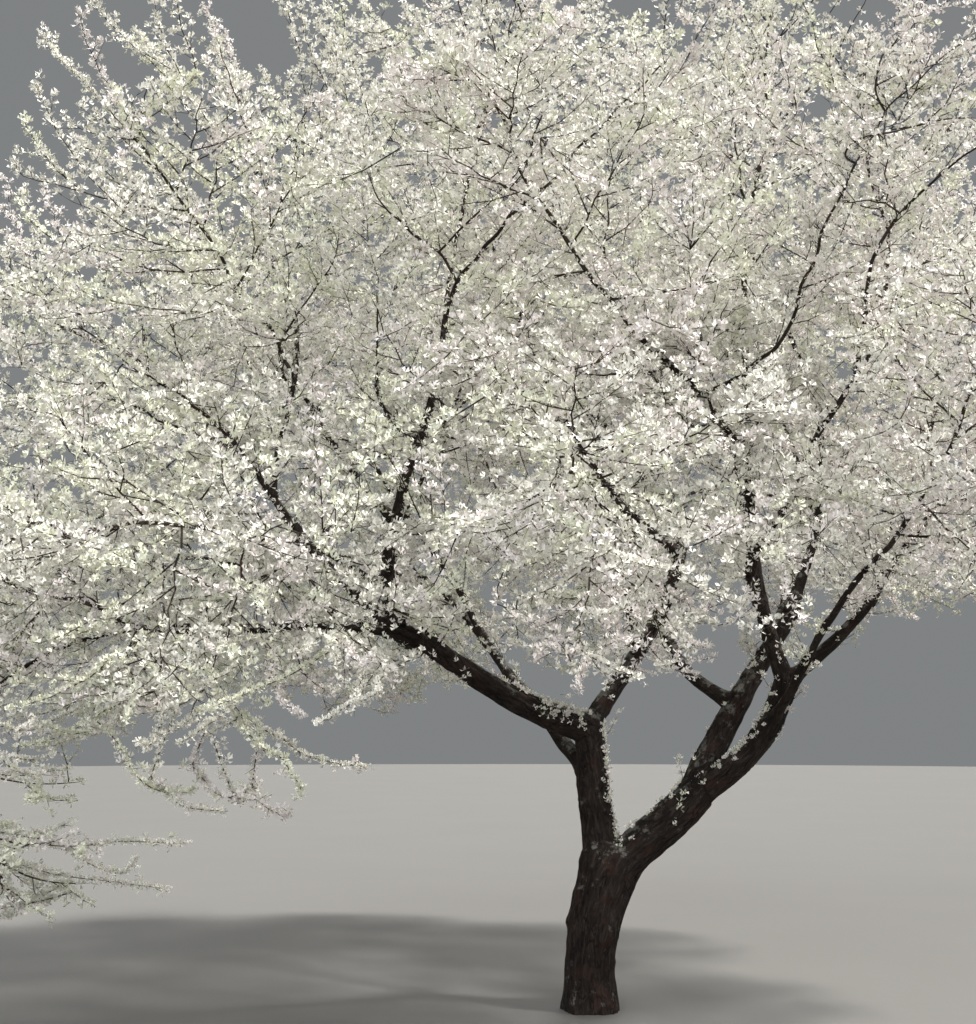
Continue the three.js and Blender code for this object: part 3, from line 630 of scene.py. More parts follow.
# The trunk and the thick limbs, as one skin.
oldWood = dict(
    limbs="left_limb right_limb left_bough mid_rise inner_limb outer_limb right_rise".split(),
    trunkRings=70, trunkSides=40, limbRings=50, limbSides=20, below=0.03, voxel=0.01, rounds=5,
    joint=0.03, grainStretch=0.26, grainShift=3.7,
    plates=0.006, plateWidth=0.03, lumps=0.075, lumpWidth=0.08, seed=11,
    # x, y, z, how wide and how high: the shoulder, the knob and old pruning scars
    knots=[(-0.04, -0.03, 0.85, 0.09, 0.022), (-0.135, -0.03, 0.49, 0.05, 0.026),
           (0.13, -0.11, 0.42, 0.055, 0.014), (0.03, -0.13, 0.63, 0.04, -0.010),
           (0.1, 0.13, 0.55, 0.06, 0.018), (0.33, -0.1, 1.02, 0.05, 0.014),
           (-0.42, -0.36, 1.72, 0.045, 0.012), (0.9, 0.1, 1.72, 0.05, 0.014)],
)


# Where each place lies on a limb: how far off its bark, and its grain there. The grain's first two
# numbers go across the wood and the third along it.
def limbGrain(limb, places, stretch, steps=40):
    line = pointOn(limb["curve"], np.linspace(0, 1, steps + 1))
    spans = np.diff(line, axis=0)
    lengths = norms(spans)
    best = np.full(len(places), np.inf)
    off, where = np.zeros((len(places), 3)), np.zeros(len(places))
    for i in range(steps):
        t = np.clip((places - line[i]) @ spans[i] / lengths[i] ** 2, 0, 1)
        gap = places - line[i] - t[:, None] * spans[i]
        far = norms(gap)
        nearer = far < best
        best[nearer], off[nearer], where[nearer] = far[nearer], gap[nearer], i + t[nearer]
    along = tangentOn(limb["curve"], where / steps)
    across = unit(limb["side"] - dot(limb["side"], along) * along)
    length = np.interp(where, np.arange(steps + 1), runAlong(line))
    radius = limbRadius(limb, where / steps)
    grain = np.column_stack((dot(off, across), dot(off, np.cross(along, across)), length * stretch))
    return best - radius, grain, radius


# How far bark stands out, in metres: lumps as wide as a hand, and scaly plates along the grain.
def barkRelief(grain, radius, plan):
    seed, wide, fine = plan["seed"], grain / plan["lumpWidth"], grain / plan["plateWidth"]
    lump = noiseAt(wide, seed) + 0.5 * noiseAt(wide * 2.1, seed + 1)
    plate = 1 - 2 * np.abs(noiseAt(fine, seed + 2)) + 0.5 * noiseAt(fine * 2.3, seed + 3)
    return lump * plan["lumps"] * radius + plate * plan["plates"] * np.clip(radius / 0.08, 0.25, 1)


def setGrain(mesh, grain):
    attribute = mesh.attributes.new("grain", "FLOAT_VECTOR", "POINT")
    attribute.data.foreach_set("vector", grain.astype(np.float32).ravel())


# Cuts the foot flat where the tree meets the ground.
def cutFlat(mesh):
    work = bmesh.new()
    work.from_mesh(mesh)
    everything = work.verts[:] + work.edges[:] + work.faces[:]
    bmesh.ops.bisect_plane(work, geom=everything, plane_no=up, clear_inner=True)
    rim = [edge for edge in work.edges if edge.is_boundary]
    bmesh.ops.triangle_fill(work, edges=rim, use_beauty=True)
    work.to_mesh(mesh)
    work.free()


def buildOldWood():
    plan, trunk, names = oldWood, limbs["trunk"], ["trunk"] + oldWood["limbs"]
    share = np.linspace(0, 1, plan["trunkRings"])
    path = pointOn(trunk["curve"], share)
    path[0, 2] -= plan["below"]
    girth = trunkGirth(share[:, None], anglesOf(plan["trunkSides"]))
    parts = [tubeAlong(path, girth, plan["trunkSides"], trunk["side"])]
    share = np.linspace(0, 1, plan["limbRings"])
    for limb in (limbs[name] for name in plan["limbs"]):
        parts.append(tubeAlong(pointOn(limb["curve"], share), limbRadius(limb, share), plan["limbSides"],
                               limb["side"]))
    rough = addObject("roughWood", meshFrom("roughWood", *joined(parts)))
    skin, soften = rough.modifiers.new("skin", "REMESH"), rough.modifiers.new("soften", "SMOOTH")
    skin.mode, skin.voxel_size = "VOXEL", plan["voxel"]
    soften.factor, soften.iterations = 0.5, plan["rounds"]
    mesh = bpy.data.meshes.new_from_object(rough.evaluated_get(bpy.context.evaluated_depsgraph_get()))
    bpy.data.objects.remove(rough)
    mesh.name = "old_wood"
    places, normals = readCoords(mesh), readCoords(mesh, "normal")
    rows = [limbGrain(limbs[name], places, plan["grainStretch"]) for name in names]
    gaps, grains, radii = (np.array(part) for part in zip(*rows))
    grains += plan["grainShift"] * np.arange(len(names))[:, None, None]
    each = np.arange(len(places))
    first, second = np.argsort(gaps, axis=0)[:2]
    weight = 0.5 + 0.5 * np.clip((gaps[second, each] - gaps[first, each]) / plan["joint"], 0, 1)
    relief = weight * barkRelief(grains[first, each], radii[first, each], plan)
    relief += (1 - weight) * barkRelief(grains[second, each], radii[second, each], plan)
    for x, y, z, width, height in plan["knots"]:
        relief += height * np.exp(-(norms(places - (x, y, z)) / width) ** 2)
    places += normals * relief[:, None]
    mesh.vertices.foreach_set("co", places.astype(np.float32).ravel())
    setGrain(mesh, grains[first, each])
    cutFlat(mesh)
    mesh.polygons.foreach_set("use_smooth", np.full(len(mesh.polygons), True))
    mesh.update()
    placePiece(mesh, oldBark, names)


buildOldWood()
print("old wood done")

# The thin boughs, each a tube with a collar where it leaves the wood that carries it.
boughs = dict(sides=10, step=0.02, collar=0.45, collarLength=0.05, grainStretch=0.3, grainShift=2.3,
              wave=0.16, sway=0.012, swaySeed=40, plates=0.0022, plateWidth=0.016, lumps=0.16,
              lumpWidth=0.05, seed=31)


def buildBoughs():
    plan, sides = boughs, boughs["sides"]
    names = [name for name in limbPlan if name not in oldWood["limbs"]]
    parts, grains = [], []
    for i, name in enumerate(names):
        limb = limbs[name]
        share = np.linspace(0, 1, int(limb["length"] / plan["step"]))
        path = pointOn(limb["curve"], share)
        run, sway = runAlong(path), plan["sway"] * np.sin(math.pi * share)
        path += wander(run / plan["wave"], i, plan["swaySeed"]) * sway[:, None]
        past = np.maximum(run - limbRadius(limbs[limb["on"]], limb["at"]), 0) / plan["collarLength"]
        radius = limbRadius(limb, share) * (1 + plan["collar"] * np.exp(-past))
        across, angle = radius[:, None], anglesOf(sides)
        grain = (across * np.cos(angle), across * np.sin(angle), run[:, None] * plan["grainStretch"])
        grain = np.stack(np.broadcast_arrays(*grain), -1).reshape(-1, 3) + plan["grainShift"] * i
        relief = barkRelief(grain, np.repeat(radius, sides), plan).reshape(-1, sides)
        parts.append(tubeAlong(path, across + relief, sides, limb["side"]))
        grains.append(grain)
    mesh = meshFrom("boughs", *joined(parts), smooth=True)
    setGrain(mesh, np.concatenate(grains))
    placePiece(mesh, boughBark, names)


buildBoughs()
print("boughs done")

# Everything finer than a bough. Each kind has its number of points and sides, how far it bows and
# zigzags as shares of its length, how far apart blossom stands on it, and how big beside the rest.
twigKinds = dict(
    stem=dict(points=17, sides=7, waves=6, sway=0.05, seed=51, spacing=0.026, bare=0.1),
    twig=dict(points=9, sides=5, bow=0.055, zigzag=0.01, spacing=0.09, bare=0.1),
    spray=dict(points=4, sides=3, bow=0.07, zigzag=0.02, spacing=0.064, bare=0.05),
    twiglet=dict(points=2, sides=3, bow=0.0, zigzag=0.0, spacing=0.06, bare=0.2),
    spur=dict(points=3, sides=3, bow=0.1, zigzag=0.02, spacing=0.05, bare=0.05),
    droop=dict(points=7, sides=3, bow=0.13, zigzag=0.025, spacing=0.014, bare=0.02, bloom=0.75),
    string=dict(points=15, sides=3, knots=8, waves=4, sway=0.018, swayDeep=0.1, seed=61,
                spacing=0.0105, bare=0.02, bloom=0.64),
    wisp=dict(points=7, sides=3, bow=0.08, zigzag=0.015, spacing=0.04, bare=0.02),
    reach=dict(points=24, sides=6, waves=7, sway=0.02, seed=71, spacing=0.12, bare=0.1),
)
# How they grow, in metres and degrees. Along: where on a line they begin, and over how much of it.
# Taper: their length at its foot, as a share, and what is lost of that by its tip.
growth = dict(
    seed=7, sideways=0.6, looseBend=0.5, stemTip=0.0055, twigFoot=(0.5, 0.0055, 0.0105), twigTip=0.002,
    sprayFoot=0.0032, sprayUsual=0.3, sprayThick=(0.6, 1.4), sprayTip=0.0013,
    twigletFoot=0.002, twigletTip=0.0009, spurFoot=0.003, spurTip=0.0012,
    extraSprays=14, extraAlong=(0.1, 0.9), extraLength=(0.16, 0.42), extraShortest=0.1, extraAngle=(40, 75),
    extraNarrow=0.5, extraRoll=(50, 137.5), extraLift=0.4, extraRoom=0.95, overlap=-0.09,
    twigletStep=0.055, twigletAlong=(0.04, 0.92), twigletLength=(0.06, 0.2), twigletTaper=(1.1, 0.6),
    twigletAngle=(30, 58), twigletRoll=50, twigletLift=0.3, twigletRoom=0.97, shortest=0.035,
    boxMargin=-0.06, pastWalls=-0.3, sprayLeast=0.05, barkLoose=0.25,
    spurStep=0.1, spurLength=(0.05, 0.26), spurSpan=(0.3, 1.0), thickSpan=(0.62, 1.0), spurAngle=(35, 80),
    barkStep=0.11, shootStep=0.085, shootLength=(0.2, 0.62), shootFoot=0.45,
    shootAngle=(35, 75), rise=0.35,
)
rng = np.random.default_rng(growth["seed"])

# Where the crown is open to the sky: the way that side of the mass faces, how far out along it the
# thinning starts, and the share of sprays left there. thinOver: how far it takes to reach that share.
thinOver = 0.4
airy = named("way start left", dict(
    top_left=((-0.85, -0.1, 0.5), -0.05, 0.05), left=((-0.3, 0, 0.95), 0.5, 0.3),
    front_left=((-0.72, 0, 0.7), 0.4, 0.2), top=((0, 0, 1), 0.35, 0.4), top_back=((0, 0, 1), 0.35, 0.4),
    top_right=((0.72, -0.1, 0.68), 0.25, 0.22), top_back_right=((0.75, 0.1, 0.65), 0.3, 0.3),
    right=((0.5, 0, 0.86), 0.4, 0.45), left_hanging=((1, 0, 0), -9, 0.33),
))


# The share of sprays that stay at each place.
def thickness(mass, places):
    plan = airy.get(mass["name"])
    if not plan:
        return np.ones(len(places))
    out = ((places - mass["centre"]) / mass["half"]) @ unit(np.array(plan["way"]))
    return 1 - (1 - plan["left"]) * np.clip((out - plan["start"]) / thinOver, 0, 1)


def between(low, high, count):
    return rng.uniform(low, high, count)


def picked(good, *parts):
    return [part[good] for part in parts]


# Each column of some rows, as one array.
def stacked(rows):
    return [np.concatenate(part) for part in zip(*rows)]


def columns(rows):
    return [np.array(part) for part in zip(*rows)]


# The lengths of lines, cut where they would pass the frame's outer box by the margin.
def heldInBox(starts, ways, lengths, margin, shortest):
    low, high = (np.array(corner) for corner in cadBounds)
    room = ((np.where(ways > 0, high + margin, low - margin) - starts) / ways).min(1)
    return np.clip(room, shortest, lengths)


# Lines from start to end that bow to one side and zigzag, as (lines, points, 3).
def bentPaths(starts, ends, kind):
    share = np.linspace(0, 1, kind["points"])
    line = ends - starts
    length = norms(line)[:, None, None]
    heading = unit(line)
    side = squareTo(heading)
    turn = between(0, 2 * math.pi, len(starts))[:, None]
    sag = -up + dot(up, heading) * heading
    out = sag + growth["sideways"] * (side * np.cos(turn) + np.cross(heading, side) * np.sin(turn))
    paths = starts[:, None] + line[:, None] * share[:, None]
    paths += out[:, None] * (np.sin(math.pi * share) * kind["bow"])[:, None] * length
    hands = np.where(np.arange(kind["points"]) % 2, 1.0, -1.0) * (share > 0) * (share < 1)
    loose = growth["looseBend"] + rng.random((len(starts), kind["points"], 1))
    return paths + side[:, None] * hands[:, None] * loose * kind["zigzag"] * length


# The place and direction at a share of the way along chosen paths.
def alongPaths(paths, which, share):
    last = paths.shape[1] - 1
    where = np.clip(share * last, 0, last - 1e-6)
    band = where.astype(int)
    first, second = paths[which, band], paths[which, band + 1]
    return mix(first, second, (where - band)[:, None]), unit(second - first)


# The line that each of many things is on, and its number there, from how many there are on each.
def numbered(counts):
    which = np.repeat(np.arange(len(counts)), counts)
    return which, np.arange(len(which)) - np.repeat(np.cumsum(counts) - counts, counts)


# Directions that stand off the given ones by an angle, turned round them by roll, both in degrees.
def standOff(along, angle, roll):
    side = squareTo(along)
    angle, roll = np.radians(angle)[:, None], np.radians(roll)[:, None]
    out = side * np.cos(roll) + np.cross(along, side) * np.sin(roll)
    return along * np.cos(angle) + out * np.sin(angle)


# The same on any side, by an angle from the given range, and turned up a little.
def anyWayOff(along, angles, rise=growth["rise"]):
    off = standOff(along, between(*angles, len(along)), between(0, 360, len(along)))
    return unit(off + rise * up)


# The radii of many lines at both ends.
def endRadii(count, foot, tip):
    return np.column_stack(np.broadcast_arrays(foot, np.full(count, tip)))


def sprayLines(roots, headings, length):
    feet = growth["sprayFoot"] * np.clip(length / growth["sprayUsual"], *growth["sprayThick"])
    paths = bentPaths(roots, roots + headings * length[:, None], twigKinds["spray"])
    return paths, endRadii(len(paths), feet, growth["sprayTip"])


# Twiglets left and right along every line, and the line that each is on. They end at a length, or a
# share of the room in a mass's space.
def growTwiglets(paths, length, lift, longest=np.inf, mass=None, margin=0.0):
    counts = np.maximum(1, (length / growth["twigletStep"]).astype(int))
    which, nth = numbered(counts)
    (low, span), (most, taper) = growth["twigletAlong"], growth["twigletTaper"]
    at = (nth + between(0.3, 0.9, len(which))) / counts[which] * span + low
    roots, along = alongPaths(paths, which, at)
    roll, turned = growth["twigletRoll"], up * lift * growth["twigletLift"]
    hand = np.where(nth % 2, 0.0, 180.0) + between(-roll, roll, len(which))
    off = unit(standOff(along, between(*growth["twigletAngle"], len(which)), hand) + turned)
    reach = between(*growth["twigletLength"], len(which)) * (most - taper * at)
    if mass:
        longest = roomAlong(mass, roots, off, margin) * growth["twigletRoom"]
    reach = np.minimum(reach, longest)
    roots, off, reach, which = picked(reach > growth["shortest"], roots, off, reach, which)
    paths = bentPaths(roots, roots + off * reach[:, None], twigKinds["twiglet"])
    return (paths, endRadii(len(paths), growth["twigletFoot"], growth["twigletTip"])), which


# The lines of each kind in a mass, and the spray that each twiglet is on.
def growMass(mass, bits):
    kind, tip, lift = twigKinds["stem"], growth["stemTip"], mass["lift"]
    share = np.linspace(0, 1, kind["points"])
    along = tangentOn(mass["stem"], share)
    side = squareTo(along)
    stem = pointOn(mass["stem"], share)[None]
    for i, turn in enumerate((side, np.cross(along, side))):
        off = waveAt(share * kind["waves"], mass["key"], 0, kind["seed"] + i)
        stem = stem + (off * np.sin(math.pi * share))[:, None] * turn * kind["sway"]
    twigs, sprays = growTwigs(mass, bits)
    shares, ends = columns(twigs)
    feet = np.clip(growth["twigFoot"][0] * mix(mass["stemFoot"], tip, shares), *growth["twigFoot"][1:])
    paths = bentPaths(alongPaths(stem, np.zeros(len(ends), int), shares)[0], ends, twigKinds["twig"])
    which, at, length, headings = columns(sprays)
    roots = alongPaths(paths, which, at)[0]
    # and more sprays straight on the stem
    count, (low, span), (start, roll) = growth["extraSprays"], growth["extraAlong"], growth["extraRoll"]
    at = (np.arange(count) + between(0.1, 0.9, count)) / count * span + low
    more, along = alongPaths(stem, np.zeros(count, int), at)
    angle = between(*growth["extraAngle"], count) * (1 - growth["extraNarrow"] * at)
    off = standOff(along, angle, np.arange(count) * roll + start)
    off = unit(off + up * lift * growth["extraLift"])
    reach = roomAlong(mass, more, off, growth["overlap"]) * growth["extraRoom"]
    reach = np.minimum(reach, between(*growth["extraLength"], count))
    lines = [np.concatenate(pair) for pair in ((roots, more), (headings, off), (length, reach))]
    middle = lines[0] + lines[1] * lines[2][:, None] / 2
    keep = (lines[2] > growth["extraShortest"]) & (rng.random(len(middle)) < thickness(mass, middle))
    lines = picked(keep, *lines)
    lines = picked(allClearOf(bits, *lines), *lines)
    grown = dict(stem=(stem, np.array([[mass["stemFoot"], tip]])),
                 twig=(paths, endRadii(len(paths), feet, growth["twigTip"])), spray=sprayLines(*lines))
    grown["twiglet"], carriers = growTwiglets(grown["spray"][0], lines[2], lift, mass=mass,
                                              margin=growth["overlap"])
    return grown, carriers


# The masses by the part of the crown that they are in: their twigs and blossom are joined.
crownParts = {side: names.split() for side, names in dict(
    left="left_hanging left_low front_left_low left_back_low left front_left front_middle",
    right="front_low front_right_low right_low front front_right right_middle right",
    back="back_right_low back_low back_left_low back_right back back_left",
    top="middle top_left top top_right top_back_right top_back",
).items()}
tintShares = dict(left=(0.56, 0.12, 0.32), right=(0.5, 0.42, 0.08), width=3.0)


# A tint for each place: greener to the left of the crown, warmer to the right.
def tintsAt(places):
    share = np.clip(places[:, 0] / tintShares["width"] / 2 + 0.5, 0, 1)[:, None]
    shares = mix(np.array(tintShares["left"]), np.array(tintShares["right"]), share)
    return (rng.random((len(places), 1)) > shares.cumsum(1)[:, :2]).sum(1)


def groupOf(mass):
    return next(i for i, names in enumerate(crownParts.values()) if mass["name"] in names)


def massNamed(name):
    return masses[list(massPlan).index(name)]


wood = {kind: [] for kind in twigKinds}


# Lines of one kind, as their paths and radii, with a tint each and one or more groups.
def addWood(kind, lines, tints, groups):
    groups = np.zeros_like(tints) + groups
    wood[kind].append(dict(paths=lines[0], radii=lines[1], tints=tints, groups=groups))


# Twiglets on the lines that were added last to a kind.
def addTwiglets(kind, lengths, lift, **room):
    part = wood[kind][-1]
    lines, which = growTwiglets(part["paths"], lengths, lift, **room)
    addWood("twiglet", lines, part["tints"][which], part["groups"][which])


# Sprays with their twiglets, in a mass's space or else in the frame's outer box.
def addSprays(roots, ways, lengths, groups, lift=0.3, mass=None):
    if not mass:
        lengths = heldInBox(roots, ways, lengths, growth["boxMargin"], growth["sprayLeast"])
    lines = sprayLines(roots, ways, lengths)
    addWood("spray", lines, tintsAt(roots), groups)
    addTwiglets("spray", lengths, lift, mass=mass, margin=growth["pastWalls"])


# All points of those kinds of wood but the first of each line.
def placesOn(*kinds):
    return np.concatenate([part["paths"][:, 1:].reshape(-1, 3) for kind in kinds for part in wood[kind]])


limbShares, stemShares = (np.arange(count) / count for count in (rule["limbBits"], rule["stemBits"]))
bits = {name: bitsOf(limb["curve"], limbRadius(limb, limbShares)) for name, limb in limbs.items()}
stemBits = [bitsOf(mass["stem"], mix(mass["stemFoot"], rule["stemTip"], stemShares)) for mass in masses]
for mass in masses:
    others = [part for key, part in enumerate(stemBits) if key != mass["key"]]
    grown, carriers = growMass(mass, np.concatenate(list(bits.values()) + others))
    for kind, lines in grown.items():
        tints = wood["spray"][-1]["tints"][carriers] if kind == "twiglet" else tintsAt(lines[0][:, 0])
        addWood(kind, lines, tints, groupOf(mass))
print("twigs grown")

massGroups = np.array([groupOf(mass) for mass in masses])
massCentres, massHalves = (np.array([mass[key] for mass in masses]) for key in ("centre", "half"))


def nearestGroup(places):
    return massGroups[norms(places[:, None] - massCentres).argmin(1)]


# Thin boughs that show dark through the blossom in front, planned as the limbs are. on: the limb or
# the earlier thin bough that each leaves.
reachPlan = named("on at tip leaves arrives across", dict(
    left_rise_right=("left_rise", 1.0, (-0.44, -1.3, 4.15), (-51, 76), (-55, 39), (0.03, 0.017)),
    left_rise_right_up=("left_rise_right", 0.95, (0.35, -1.4, 4.91), (-33, 28), (-8, 41), (0.017, 0.007)),
    left_rise_left=("left_rise_right", 0.32, (-1.17, -1.48, 4.3), (-158, 59), (-115, 46), (0.018, 0.006)),
    left_rise_middle=("left_rise_left", 0.21, (-0.25, -1.62, 4.39), (-29, 36), (-40, 26), (0.013, 0.005)),
    left_rise_low=("left_rise", 0.62, (-1.11, -1.47, 3.68), (-145, 18), (-95, 50), (0.026, 0.007)),
    left_top_right=("left_top_bough", 0.55, (-1.33, -1.15, 4.12), (-155, 55), (-81, 87), (0.018, 0.005)),
    left_reach_out=("left_reach", 0.97, (-2.46, -1.04, 3.4), (-145, 44), (-131, 6), (0.024, 0.006)),
    left_reach_low=("left_reach", 0.94, (-2.65, -1.09, 3.25), (-155, 26), (-152, 12), (0.02, 0.006)),
    front_arch_left=("front_arch", 0.78, (-0.16, -1.61, 3.24), (-124, -29), (-120, -7), (0.018, 0.006)),
    front_arch_low=("front_arch", 0.3, (0.09, -1.45, 3.37), (-150, -37), (-125, -4), (0.016, 0.006)),
    right_tall=("front_arch", 0.5, (1.04, -1.66, 3.95), (-29, 8), (58, 62), (0.024, 0.014)),
    right_tall_up=("right_tall", 0.95, (1.81, -1.66, 4.92), (0, 67), (0, 41), (0.014, 0.006)),
    right_tall_side=("right_tall_up", 0.29, (1.65, -2.1, 4.3), (173, 26), (-17, -7), (0.012, 0.005)),
    right_tall_top=("right_tall_up", 0.54, (1.61, -1.58, 5.13), (-162, 49), (38, 51), (0.012, 0.005)),
    right_front=("front_right_upper", 1.0, (1.26, -1.72, 3.77), (-94, 52), (-96, 21), (0.026, 0.018)),
    right_front_up=("right_front", 0.95, (1.84, -1.91, 4.34), (-74, 39), (1, 36), (0.018, 0.007)),
    right_front_side=("right_front_up", 0.31, (1.06, -1.94, 3.96), (172, 52), (-165, 1), (0.01, 0.005)),
    mid_arch_up=("mid_arch", 0.62, (-0.12, -0.76, 3.36), (-58, 74), (-114, 33), (0.018, 0.006)),
))
reachSprays = dict(span=(0.15, 1.0), step=0.085, angle=(35, 65), rise=0.3, length=(0.12, 0.42))


# A smooth line through the given places, as evenly spaced points.
def smoothLine(places, count):
    ends = 2 * places[[0, -1]] - places[[1, -2]]
    run = runAlong(places)
    places = np.concatenate((ends[:1], places, ends[1:]))
    where = np.linspace(0, run[-1], count)
    band = np.clip(np.searchsorted(run, where, side="right") - 1, 0, len(run) - 2)
    t = ((where - run[band]) / (run[band + 1] - run[band]))[:, None]
    a, b, c, d = (places[band + k] for k in range(4))
    bend, twist = 2 * a - 5 * b + 4 * c - d, 3 * b - a - 3 * c + d
    return 0.5 * (2 * b + (c - a) * t + bend * t**2 + twist * t**3)


def makeReaches():
    kind, lines = twigKinds["reach"], {}
    share = np.linspace(0, 1, kind["points"])
    for key, (name, plan) in enumerate(reachPlan.items()):
        if plan["on"] in limbs:
            root = pointOn(limbs[plan["on"]]["curve"], plan["at"])
        else:
            root = alongPaths(lines[plan["on"]][None], np.array([0]), np.array([plan["at"]]))[0][0]
        curve = curveOf(plan, root)
        sway = np.sin(math.pi * share)[:, None] * np.linalg.norm(curve[3] - root) * kind["sway"]
        lines[name] = pointOn(curve, share) + wander(share * kind["waves"], key, kind["seed"]) * sway
    paths = np.array(list(lines.values()))
    radii = np.array([plan["across"] for plan in reachPlan.values()]) / 2
    addWood("reach", (paths, radii), tintsAt(paths[:, 0]), nearestGroup(paths[:, kind["points"] // 2]))
    which, _ = numbered((lengthOf(paths) / reachSprays["step"]).astype(int))
    roots, along = alongPaths(paths, which, between(*reachSprays["span"], len(which)))
    ways = anyWayOff(along, reachSprays["angle"], reachSprays["rise"])
    addSprays(roots, ways, between(*reachSprays["length"], len(which)), nearestGroup(roots))
    return lines


reachLines = makeReaches()
print("thin boughs grown")

# More sprays, from the nearest twig towards each empty place in a mass's own space.
filling = dict(rounds=4, tries=9000, gap=0.182, apart=0.16, shortest=0.14, longest=0.75, inside=0.95,
               full=0.9, limbSpan=(0.3, 1, 14), notIn=["left_hanging"])


def treeOf(places):
    found = KDTree(len(places))
    for i, place in enumerate(places):
        found.insert(place, i)
    found.balance()
    return found


# Random places in the masses, each with the number of its mass.
def placesInside(count):
    volume = massHalves.prod(1)
    which = rng.choice(len(masses), count, p=volume / volume.sum())
    way = unit(rng.normal(size=(count, 3))) * rng.random((count, 1)) ** (1 / 3) * filling["inside"]
    return zip(massCentres[which] + way * massHalves[which], which)


def fillGaps():
    plan, added = filling, 0
    share = np.linspace(*plan["limbSpan"])
    onLimbs = np.concatenate([pointOn(limbs[name]["curve"], share) for name in limbPlan])
    for _ in range(plan["rounds"]):
        near = treeOf(np.concatenate((placesOn("stem", "twig", "spray", "twiglet"), onLimbs)))
        carriers = treeOf(placesOn("stem", "twig", "spray"))
        ends, starts, keys = [], [], []
        for place, key in placesInside(plan["tries"]):
            mass = masses[key]
            if mass["name"] in plan["notIn"] or thickness(mass, place[None])[0] <= plan["full"]:
                continue
            root, _, far = carriers.find(place)
            if near.find(place)[2] < plan["gap"] or not plan["shortest"] < far < plan["longest"]:
                continue
            if ends and norms(np.array(ends) - place).min() < plan["apart"]:
                continue
            ends.append(place)
            starts.append(np.array(root))
            keys.append(key)
        for key in sorted(set(keys)):
            roots, tips = picked(np.array(keys) == key, np.array(starts), np.array(ends))
            length = norms(tips - roots)
            mass = masses[key]
            addSprays(roots, (tips - roots) / length[:, None], length, groupOf(mass), mass["lift"], mass)
        added += len(keys)
    print(" ", added, "sprays fill the gaps")


fillGaps()

# Lines of blossom that leave the crown: how far past the frame's outer box they may run at most, and
# how unevenly they are cut there.
strings = dict(foot=0.0034, tip=0.0014, past=0.04, uneven=0.4, shortest=0.08)
# Long ones that hang under the low masses and turn up at their tips. counts: how many in each mass.
# share: how long they are there against the others. flatter: the fall in the hanging spray, as a share
# of the others' and what is added to it.
droops = dict(
    counts=dict(left_hanging=12, left_low=15, front_left_low=18, left_back_low=12, back_left_low=12,
                front_low=12, back_low=10, front_right_low=8, right_low=8, back_right_low=8),
    share=dict(left_hanging=1.0, left_low=0.85, front_left_low=0.85, left_back_low=0.8), rest=0.55,
    flatter=(0.4, -0.08),
    length=(0.4, 1.0), fall=(0.15, 0.8), turn=75, below=-0.3, roomPast=0.14,
)
# Long shoots that stand up and out of the top of the crown, feathered with short twiglets.
wisps = dict(
    counts=dict(top_left=14, left=10, top=16, top_right=22, top_back_right=18, top_back=14, right=14,
                front_left=8, front=7, front_right=8, back_left=13, back_right=13, back=12, left_low=8,
                right_low=9, left_back_low=8),
    length=(0.25, 0.72), rise=0.45, lean=1.2, loose=0.25, outer=0.68, twiglet=0.12, lift=0.6,
)


def addStrings(kind, starts, ways, length, mass):
    margin = strings["past"] - rng.random((len(starts), 1)) ** 2 * strings["uneven"]
    length = heldInBox(starts, ways, length, margin, strings["shortest"])
    paths = bentPaths(starts, starts + ways * length[:, None], twigKinds[kind])
    radii = endRadii(len(paths), strings["foot"], strings["tip"])
    addWood(kind, (paths, radii), tintsAt(starts), groupOf(mass))
    if kind == "wisp":
        addTwiglets(kind, length, wisps["lift"], longest=wisps["twiglet"])


def hangDroops():
    for name, count in droops["counts"].items():
        mass = massNamed(name)
        places = wood["spray"][mass["key"]]["paths"][:, 1:-1].reshape(-1, 3)
        low = places[places[:, 2] < mass["centre"][2] + droops["below"] * mass["half"][2]]
        fall = between(*droops["fall"], count)
        if name == "left_hanging":
            low, fall = places, fall * droops["flatter"][0] + droops["flatter"][1]
        starts = low[rng.choice(len(low), count, replace=count > len(low))]
        turn = np.arctan2(starts[:, 1], starts[:, 0]) + np.radians(between(-1, 1, count) * droops["turn"])
        ways = unit(np.column_stack((np.cos(turn), np.sin(turn), -fall)))
        if name == "left_hanging":
            ways[::2, 0] = np.abs(ways[::2, 0])
        room = roomAlong(mass, starts, ways, growth["pastWalls"]) + droops["roomPast"]
        length = between(*droops["length"], count) * droops["share"].get(name, droops["rest"])
        addStrings("droop", starts, ways, np.minimum(length, room), mass)


def raiseWisps():
    for name, count in wisps["counts"].items():
        mass = massNamed(name)
        places = wood["spray"][mass["key"]]["paths"][:, 1:].reshape(-1, 3)
        out = (places - mass["centre"]) / mass["half"]
        outer = (norms(out) > wisps["outer"]) & (out[:, 2] > 0)
        chosen = rng.choice(np.flatnonzero(outer), count, replace=count > outer.sum())
        ways = unit(out[chosen]) + wisps["rise"] * up + rng.normal(0, wisps["loose"], (count, 3))
        if name in airy:
            ways += np.array(airy[name]["way"]) * wisps["lean"]
        addStrings("wisp", places[chosen], unit(ways), between(*wisps["length"], count), mass)


